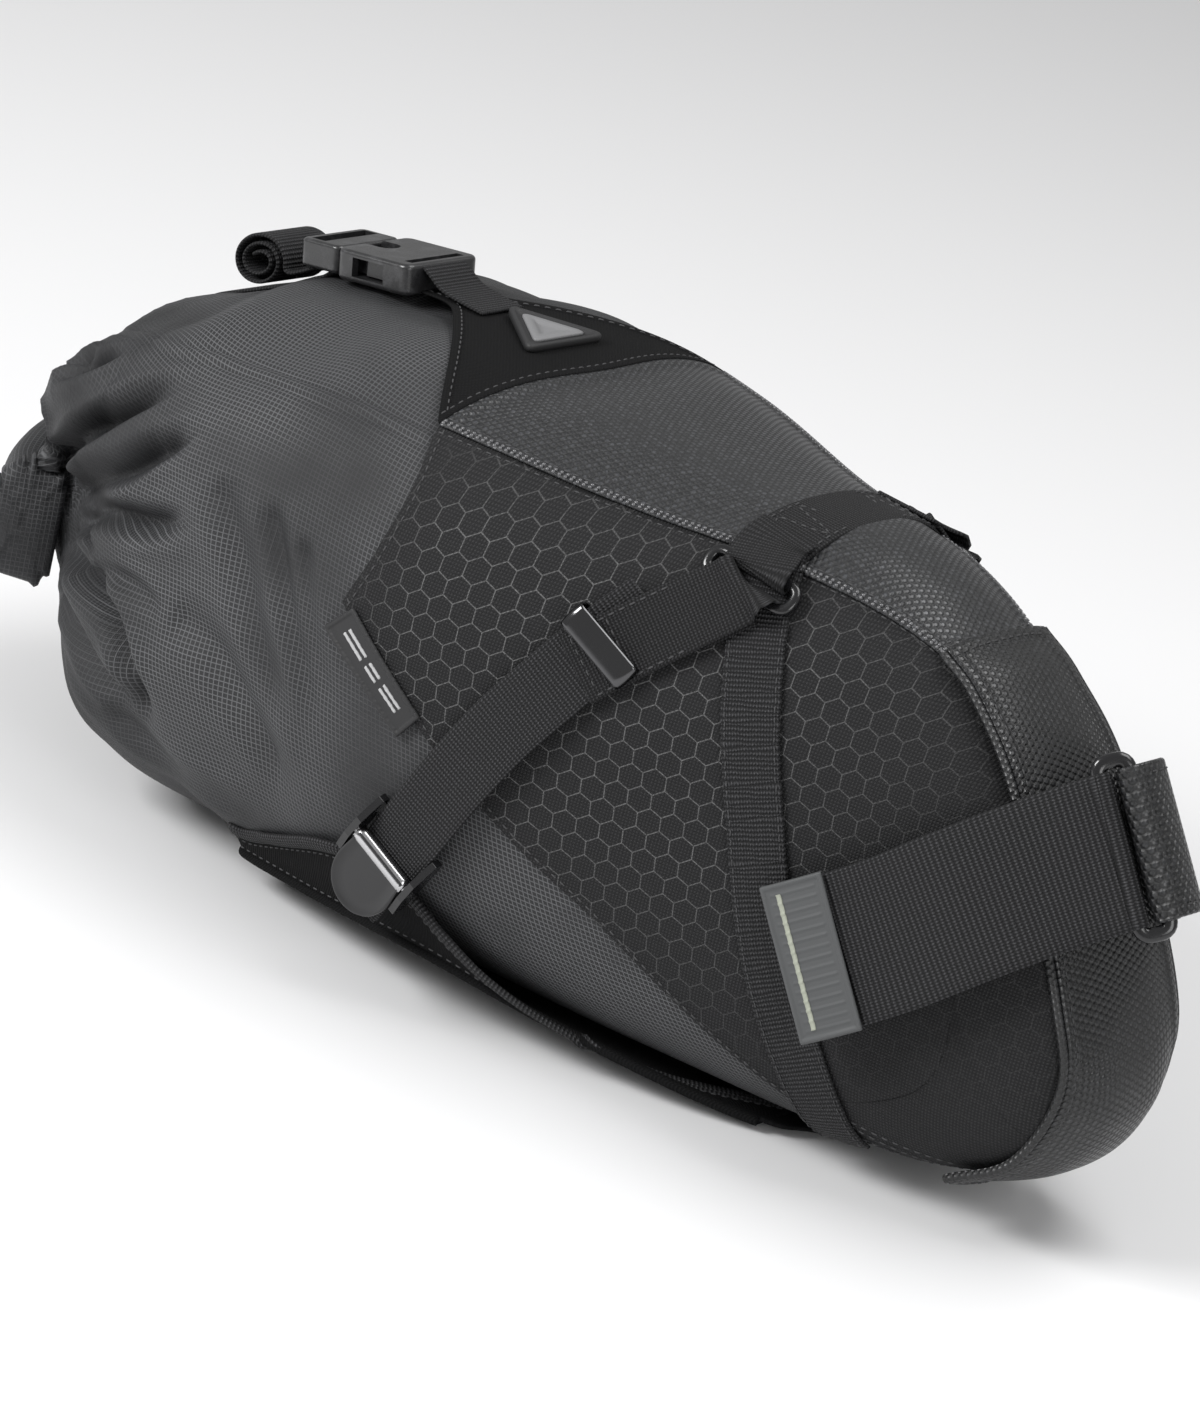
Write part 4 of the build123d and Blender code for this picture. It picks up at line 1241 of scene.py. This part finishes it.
# crosspiece ends folded through the rings
path = [on_hull([(74, -30, 196)], 4.3)[0][0], on_hull([(74, -39, 195)], 4.6)[0][0],
        UPPER_BAR + RING_PLACE.z * 2.7, UPPER_BAR - RING_PLACE.y * 2.5,
        UPPER_BAR - RING_PLACE.z * 2.5, on_hull([(74, -38, 195)], 3.0)[0][0]]
piece, *_ = ribbon("crosspiece_fold_right", path, (1, 0, 0), WEBBING, WEB_THICK, PLAIN_WEB)
both(piece, None)

# ---- seatpost strap ----
LEAN = math.radians(36.0)
POST = Place((150, 0, 84), (math.cos(LEAN), 0, math.sin(LEAN)),
             (-math.sin(LEAN), 0, math.cos(LEAN)))
POST_CENTRE = 84.0
POST_RADIUS = 13.6
RING_CENTRE = np.array((95.0, -14.5))
RING_TILT = math.radians(42.0)
tilt_run = np.array((math.cos(RING_TILT), math.sin(RING_TILT)))
REAR_BAR = RING_CENTRE - 5.0 * tilt_run
FRONT_BAR = RING_CENTRE + 5.0 * tilt_run


def in_plan(points):
    """Points of the strap's plan at mid height, which climbs a little towards the ring."""
    return POST.at(np.array([(x, y, 8.5 * smoothstep(0, 95, x)) for x, y in points]))


def round_bar(centre, radius, start, end, count=12):
    return [tuple(centre + radius * np.array((math.cos(t), math.sin(t))))
            for t in np.radians(np.linspace(start, end, count))]


ring_run = POST.x * tilt_run[0] + POST.y * tilt_run[1]
post_ring_place = Place(in_plan([RING_CENTRE])[0], ring_run, np.cross(ring_run, POST.z))
piece = wire_ring("post_ring_loop", post_ring_place, (15.0, 61.0), 4.0, (5.0, 4.6), GLOSS)
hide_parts("post_ring")

pull = [(-14, -63.8), (-4, -62.0), (22, -55.5), (48, -47.5), (72, -31.5)]
path = pull + round_bar(REAR_BAR, 3.2, -100, 75)
piece, line, sides, normals = ribbon("post_strap_web", in_plan(path), POST.z, POST_WEBBING, 1.4,
                                     WIDE_WEB, "pull_strap")
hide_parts("post_strap")
piece, line, sides, normals = ribbon(
    "post_strap_under", in_plan([(-8, -59.6), (4, -57.2), (24, -51.8), (46, -44.2), (68, -29.8),
                                 (80, -20.5), (86.5, -14.6)]),
    POST.z, POST_WEBBING - 1, 1.4, WIDE_WEB)
band = (round_bar(FRONT_BAR, 3.7, 10, -205, 16)
        + round_bar(np.array((POST_CENTRE, 0.0)), POST_RADIUS + 1.15, -30, 100, 24)
        + [(72, 24.5), (64, 33), (52, 41.5), (38, 48.5), (20, 54.8), (2, 59.8)])
piece, line, sides, normals = ribbon("post_band_cloth", in_plan(band), POST.z, POST_WEBBING, 2.1,
                                     COATED_NOSE)
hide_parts("post_band")
half_way = len(line) // 2
away = line[half_way] - in_plan([(84, 0)])[0]
outward = 1.0 if normals[half_way] @ away > 0 else -1.0
stitches("post_band_stitches", [
    (line[18:] + sides[18:] * k + normals[18:] * outward * 1.05, normals[18:] * outward)
    for k in (-21.5, 21.5)])

# moulded label at the end of the pull strap, with straight raised ribs and a straight stripe
label_line = curve(in_plan([(-15.5, -65.6), (-4, -63.9), (7, -61.3)]), 60)
tangents = heading(label_line)
outs = unit(np.cross(tangents, POST.z))
if outs[0] @ (0, -1, 0) < 0:
    outs = -outs
across = np.linspace(-POST_WEBBING / 2 - 0.6, POST_WEBBING / 2 + 0.6, 120)
grid = label_line[:, None] + POST.z * across[None, :, None]
distance = edge_distance(grid)
uv = arc_coordinates(grid)
ribs = 0.30 * smoothstep(0.5, 0.9, np.cos(2 * np.pi * uv[..., 1] / 3.2))
height = 0.5 * (1 - smoothstep(0.9, 1.5, distance)) + ribs * smoothstep(2.6, 3.4, distance)
grid = grid + outs[:, None] * (0.6 + height)[..., None]
piece = slab("pull_label_plate", grid, np.repeat(outs[:, None], 120, 1), 1.2, LABEL,
             body="pull_strap")
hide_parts("pull_label")
columns = np.arange(8, 112)
middle_row = np.full(len(columns), 16)
stripe = np.array([[grid[int(round(r + k)), c] for c, r in zip(columns, middle_row)]
                   for k in (-2, 0, 2)])
stripe_out = np.array([[outs[int(round(r + k))] for r in middle_row] for k in (-2, 0, 2)])
piece = slab("pull_label_stripe", stripe + stripe_out * 0.35, stripe_out, 0.5, PALE,
             body="pull_strap")

# ---- badge: a rounded triangle with a rim and a raised lighter triangle ----
BADGE = Place(top_point(-69.5, 0) + (0, 0, 3.9), (1, 0, 0), (0.06, 0, 1))
triangle = rounded([(-19, 0), (11, -20), (11, 20)], 3.0)
piece = stack("badge_base", triangle, BADGE, [
    (0.98, -1.0), (1.0, 0.0), (1.0, 1.0), (0.97, 1.7), (0.90, 1.8), (0.85, 1.5), (0.82, 0.9),
    (0.5, 0.9),
], RUBBER)
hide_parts("badge")
piece = stack("badge_raised", triangle, BADGE, [
    (0.66, 0.4), (0.66, 1.5), (0.62, 1.8), (0.36, 1.8), (0.33, 1.3), (0.1, 1.3),
], RUBBER_LIGHT)

# ---- sling under the bag, and its wings ----
SLING_EDGE = np.array([(-97, 74, 11), (-92, 78, 12), (-44, 84, 17), (9, 87, 22), (47, 73, 15),
                       (87, 59, 10), (118, 41, 4), (137, 27, 2)], float)   # x, half width, height
x = np.linspace(-97, 137, 200)
half = np.interp(x, SLING_EDGE[:, 0], SLING_EDGE[:, 1])
edge_height = np.interp(x, SLING_EDGE[:, 0], SLING_EDGE[:, 2])
for values in (half, edge_height):
    values[:] = moving_average(values, 12)
half = half - 10 * (1 - smoothstep(0, 9, x + 97)) - 8 * smoothstep(127, 137, x)
v = np.linspace(-1, 1, 90)
grid = np.stack([np.repeat(x[:, None], 90, 1), half[:, None] * v[None],
                 0.2 + edge_height[:, None] * np.abs(v)[None] ** 3.2], -1)
normals = grid_normals(grid, False, np.broadcast_to(np.array((0, 0, -1.0)), grid.shape))
piece = slab("bottom_sling_cloth", grid, normals, 1.6, SLING_TWILL)
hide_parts("bottom_sling")


def outside(points, gap):
    """Points moved out where they are nearer to the hull than gap."""
    base, out = on_hull(points)
    clear = ((points - base) * out).sum(-1)
    return points + out * np.maximum(0, gap - clear)[..., None]


WING_TOP = [(-97, 14, 2.4), (-90, 24, 2.4), (-78, 27, 2.4), (-36, 45, 2.6), (-16, 48, 3.0),
            (2, 44, 3.4), (18, 36, 6.5), (34, 28, 8.5), (56, 21, 9.0), (90, 14, 7.0),
            (122, 8, 4.0)]
top = curve(lifted(WING_TOP), 150)
low = np.stack([top[:, 0], -np.interp(top[:, 0], x, half),
                np.interp(top[:, 0], x, edge_height)], 1)
v = np.linspace(0, 1, 30)[None, :, None]
grid = outside(low[:, None] * (1 - v) + top[:, None] * v, 1.9)
normals = grid_normals(grid, False, np.broadcast_to(np.array((0, -1.0, 0)), grid.shape))
piece = slab("sling_wing_cloth_right", grid, normals, 1.4, SLING_TWILL)
both(piece, "sling_wing")
binding = circle(2.7, 1.3, 14)
cord = circle(1.7, 1.7, 12)
for label, row, outline, cloth in (("binding", -1, binding, RIBBED),
                                   ("cord", 0, cord, SLING_TWILL)):
    edge = grid[:, row]
    tangents = heading(edge)
    out = unit(normals[:, row] - tangents * (normals[:, row] * tangents).sum(-1, keepdims=True))
    piece = sweep("wing_%s_right" % label, edge, np.cross(out, tangents), out, outline, cloth)
    both(piece, None)
piece = stitches("wing_stitches_right", [inset(grid, normals, 3, 4.5),
                                         inset(grid, normals, 2, 3.5)])
both(piece, None)

# ---- rolled closure: a spiral of cloth round its stiffener ----
LAYERS = 2.7
LAYER_THICK = 1.9
LAYER_STEP = 3.4


def spiral_section(bend):
    """Outline of the rolled cloth at one place along the roll, out along one face and back."""
    turn = np.linspace(0, LAYERS, 150)
    angle = math.radians(60) - turn * 2 * math.pi
    wobble = 0.9 * np.sin(bend * 9 + turn * 5) + 0.6 * np.sin(bend * 23 + turn * 9)
    faces = []
    for inset_by in (0.0, LAYER_THICK):
        across = ROLL_SIZE[0] / 2 - inset_by - LAYER_STEP * turn
        tall = ROLL_SIZE[1] / 2 - inset_by - LAYER_STEP * turn + wobble * 0.6
        cosine, sine = squared(angle, 2 / 2.7)
        faces.append(np.stack([np.maximum(across, 0.8) * cosine + wobble * 0.35,
                               np.maximum(tall, 2.0) * sine], 1))
    return np.vstack([faces[0], faces[1][::-1]])


bends = np.radians(np.linspace(-ROLL_HALF_ANGLE, ROLL_HALF_ANGLE, 120))
roll_line = np.stack([ROLL_REAR + ROLL_ARC - ROLL_ARC * np.cos(bends), ROLL_ARC * np.sin(bends),
                      np.full(120, ROLL_HEIGHT)], 1)
inward = np.stack([np.cos(bends), -np.sin(bends), np.zeros(120)], 1)
upward = np.repeat([[0.0, 0.0, 1.0]], 120, 0)
piece = sweep("rolled_cloth", roll_line, inward, upward,
              np.array([spiral_section(b) for b in bends]), RIPSTOP, "roll",
              wrap=True)
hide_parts("roll_closure")

# the cloth tucked over the roll's two ends
tuck = rounded([(-23.5, -9.5), (17, -11), (21, 2), (12, 12), (-20, 11.5)], 5.0)
ahead = unit(roll_line[0] - roll_line[1])
flap_place = Place(roll_line[0] + (3.5, 0, 1), (0, 0, 1), ahead)
crease = 1.5 * np.sin(np.linspace(0, 14 * math.pi, len(tuck)))[:, None] * unit(tuck)
piece = stack("roll_tuck_right", tuck + crease, flap_place, [
    (0.99, -9.0), (1.05, -4.0), (1.06, 0.0), (1.0, 2.2), (0.88, 3.6), (0.70, 3.2), (0.55, 4.6),
    (0.38, 4.0), (0.22, 5.0), (0.08, 4.2),
], RIPSTOP, "roll")
both(piece, None, "roll")

# ---- rear closure: short webbing under the yoke, closure strap and its rolled-up end ----
ACROSS = (0, 1, 0)
piece, *_ = ribbon("yoke_strap_web", [(-90, 0, 203.6), (-100, 0, 203.7), (-110, 0, 204.4),
                                      (-117, 0, 207.4), (-121, 0, 208.6), (-124, 0, 206.0),
                                      (-122.6, 0, 202.4)], ACROSS, YOKE_WEBBING, 1.3, RIBBED)
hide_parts("yoke_webbing")
SPINE_ROWS = slice(10, 112)       # shell rings that the closure strap lies on
STRAP_GAP = 1.2                   # from the shell's smoothed folds to the middle of the strap
spine = displaced[SPINE_ROWS, 0] * (1, 0, 1)
spine = np.stack([moving_average(spine[:, k], 8) for k in range(3)], 1)
spine_out = unit(body_n[SPINE_ROWS, 0] * (1, 0, 1))
above = ((displaced[SPINE_ROWS, 0] - spine) * spine_out).sum(1)
clear = moving_average(np.maximum(0, above), 8)
spine = (spine + spine_out * (clear + STRAP_GAP)[:, None])[::-1]
spine = spine[spine[:, 0] < -163]
piece, *_ = ribbon("closure_strap_web", np.vstack([[(-156, 0, 195.5)], spine]), ACROSS, WEBBING,
                   1.4, RIBBED, "buckle_tongue", smooth=False)
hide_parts("closure_strap")
COIL = Place((-195, 0, 183), (0.92, 0, 0.39), (-0.39, 0, 0.92))
turns = np.linspace(0, 2.4, 90)
angles = math.radians(-20) + turns * 2 * math.pi
coil_x = (13.2 - 3.6 * turns) * np.cos(angles)
coil_z = (10.0 - 3.0 * turns) * np.sin(angles)
coil = COIL.at(np.stack([coil_x, np.zeros(90), coil_z], 1))
lead = COIL.at(np.array([(30, 0, -3.0), (22, 0, -4.4), (14.5, 0, -5.0)]))
piece, *_ = ribbon("strap_coil_web", np.vstack([lead, coil]), ACROSS, WEBBING, 1.3, RIBBED,
                   "buckle_tongue")
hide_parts("strap_coil")

# ---- CAD nodes that are shown as they are ----
for node, material in (
    ("cam_frame_right", GLOSS), ("cam_frame_left", GLOSS), ("cam_pin_right", STEEL),
    ("cam_pin_left", STEEL), ("buckle_female", SATIN), ("buckle_male", SATIN),
    ("buckle_prong_right", SATIN), ("buckle_prong_left", SATIN), ("base_sheet", SHEET),
    ("roll_stiffener", SHEET),
):
    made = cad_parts[node]
    made.data.materials.clear()
    made.data.materials.append(material)

# ---- stage: pale floor, soft studio light and the camera ----
floor_mesh = bpy.data.meshes.new("floor")
floor_mesh.from_pydata([(-9, -9, 0), (9, -9, 0), (9, 9, 0), (-9, 9, 0)], [], [(0, 1, 2, 3)])
floor = in_scene(bpy.data.objects.new("floor", floor_mesh))
pale = Shader("pale_floor")
floor_mesh.materials.append(pale.finish((0.80, 0.80, 0.805), 0.8))

world = bpy.data.worlds.new("studio")
world.use_nodes = True
sky = world.node_tree.nodes["Background"].inputs
sky["Color"].default_value = (1, 1, 1, 1)
sky["Strength"].default_value = 0.40
bpy.context.scene.world = world
bpy.context.scene.view_settings.view_transform = "Standard"


def softbox(name, place, aim, size, power):
    light = bpy.data.lights.new(name, "AREA")
    light.shape = "RECTANGLE"
    light.size, light.size_y = size
    light.energy = power
    made = in_scene(bpy.data.objects.new(name, light))
    made.location = place
    made.rotation_mode = "QUATERNION"
    made.rotation_quaternion = (Vector(aim) - Vector(place)).to_track_quat("-Z", "Y")


middle = (cad_low + cad_high) / 2
softbox("key", (-0.75, -1.25, 1.15), middle, (0.9, 0.6), 30)
softbox("top", (0.35, 0.35, 1.5), middle, (1.2, 0.8), 13)
softbox("front", (1.4, -0.6, 0.7), middle, (0.6, 0.9), 6)

CAMERA_PLACE = (1.1308, -1.4211, 0.8452)
CAMERA_BACK = (0.57827, -0.72003, 0.38368)   # from what it looks at towards the camera
CAMERA_RIGHT = (0.7094, 0.6759, 0.1996)
CAMERA_LENS = 146.65
camera = bpy.data.cameras.new("camera")
camera.lens = CAMERA_LENS
camera.sensor_width = 36.0
camera.clip_end = 60.0
view_from = in_scene(bpy.data.objects.new("camera", camera))
back = Vector(CAMERA_BACK).normalized()
right = Vector(CAMERA_RIGHT)
right = (right - back * right.dot(back)).normalized()
up = back.cross(right)
rows = [(*axes, place) for axes, place in zip(zip(right, up, back), CAMERA_PLACE)]
view_from.matrix_world = Matrix(rows + [(0, 0, 0, 1)])
bpy.context.scene.camera = view_from
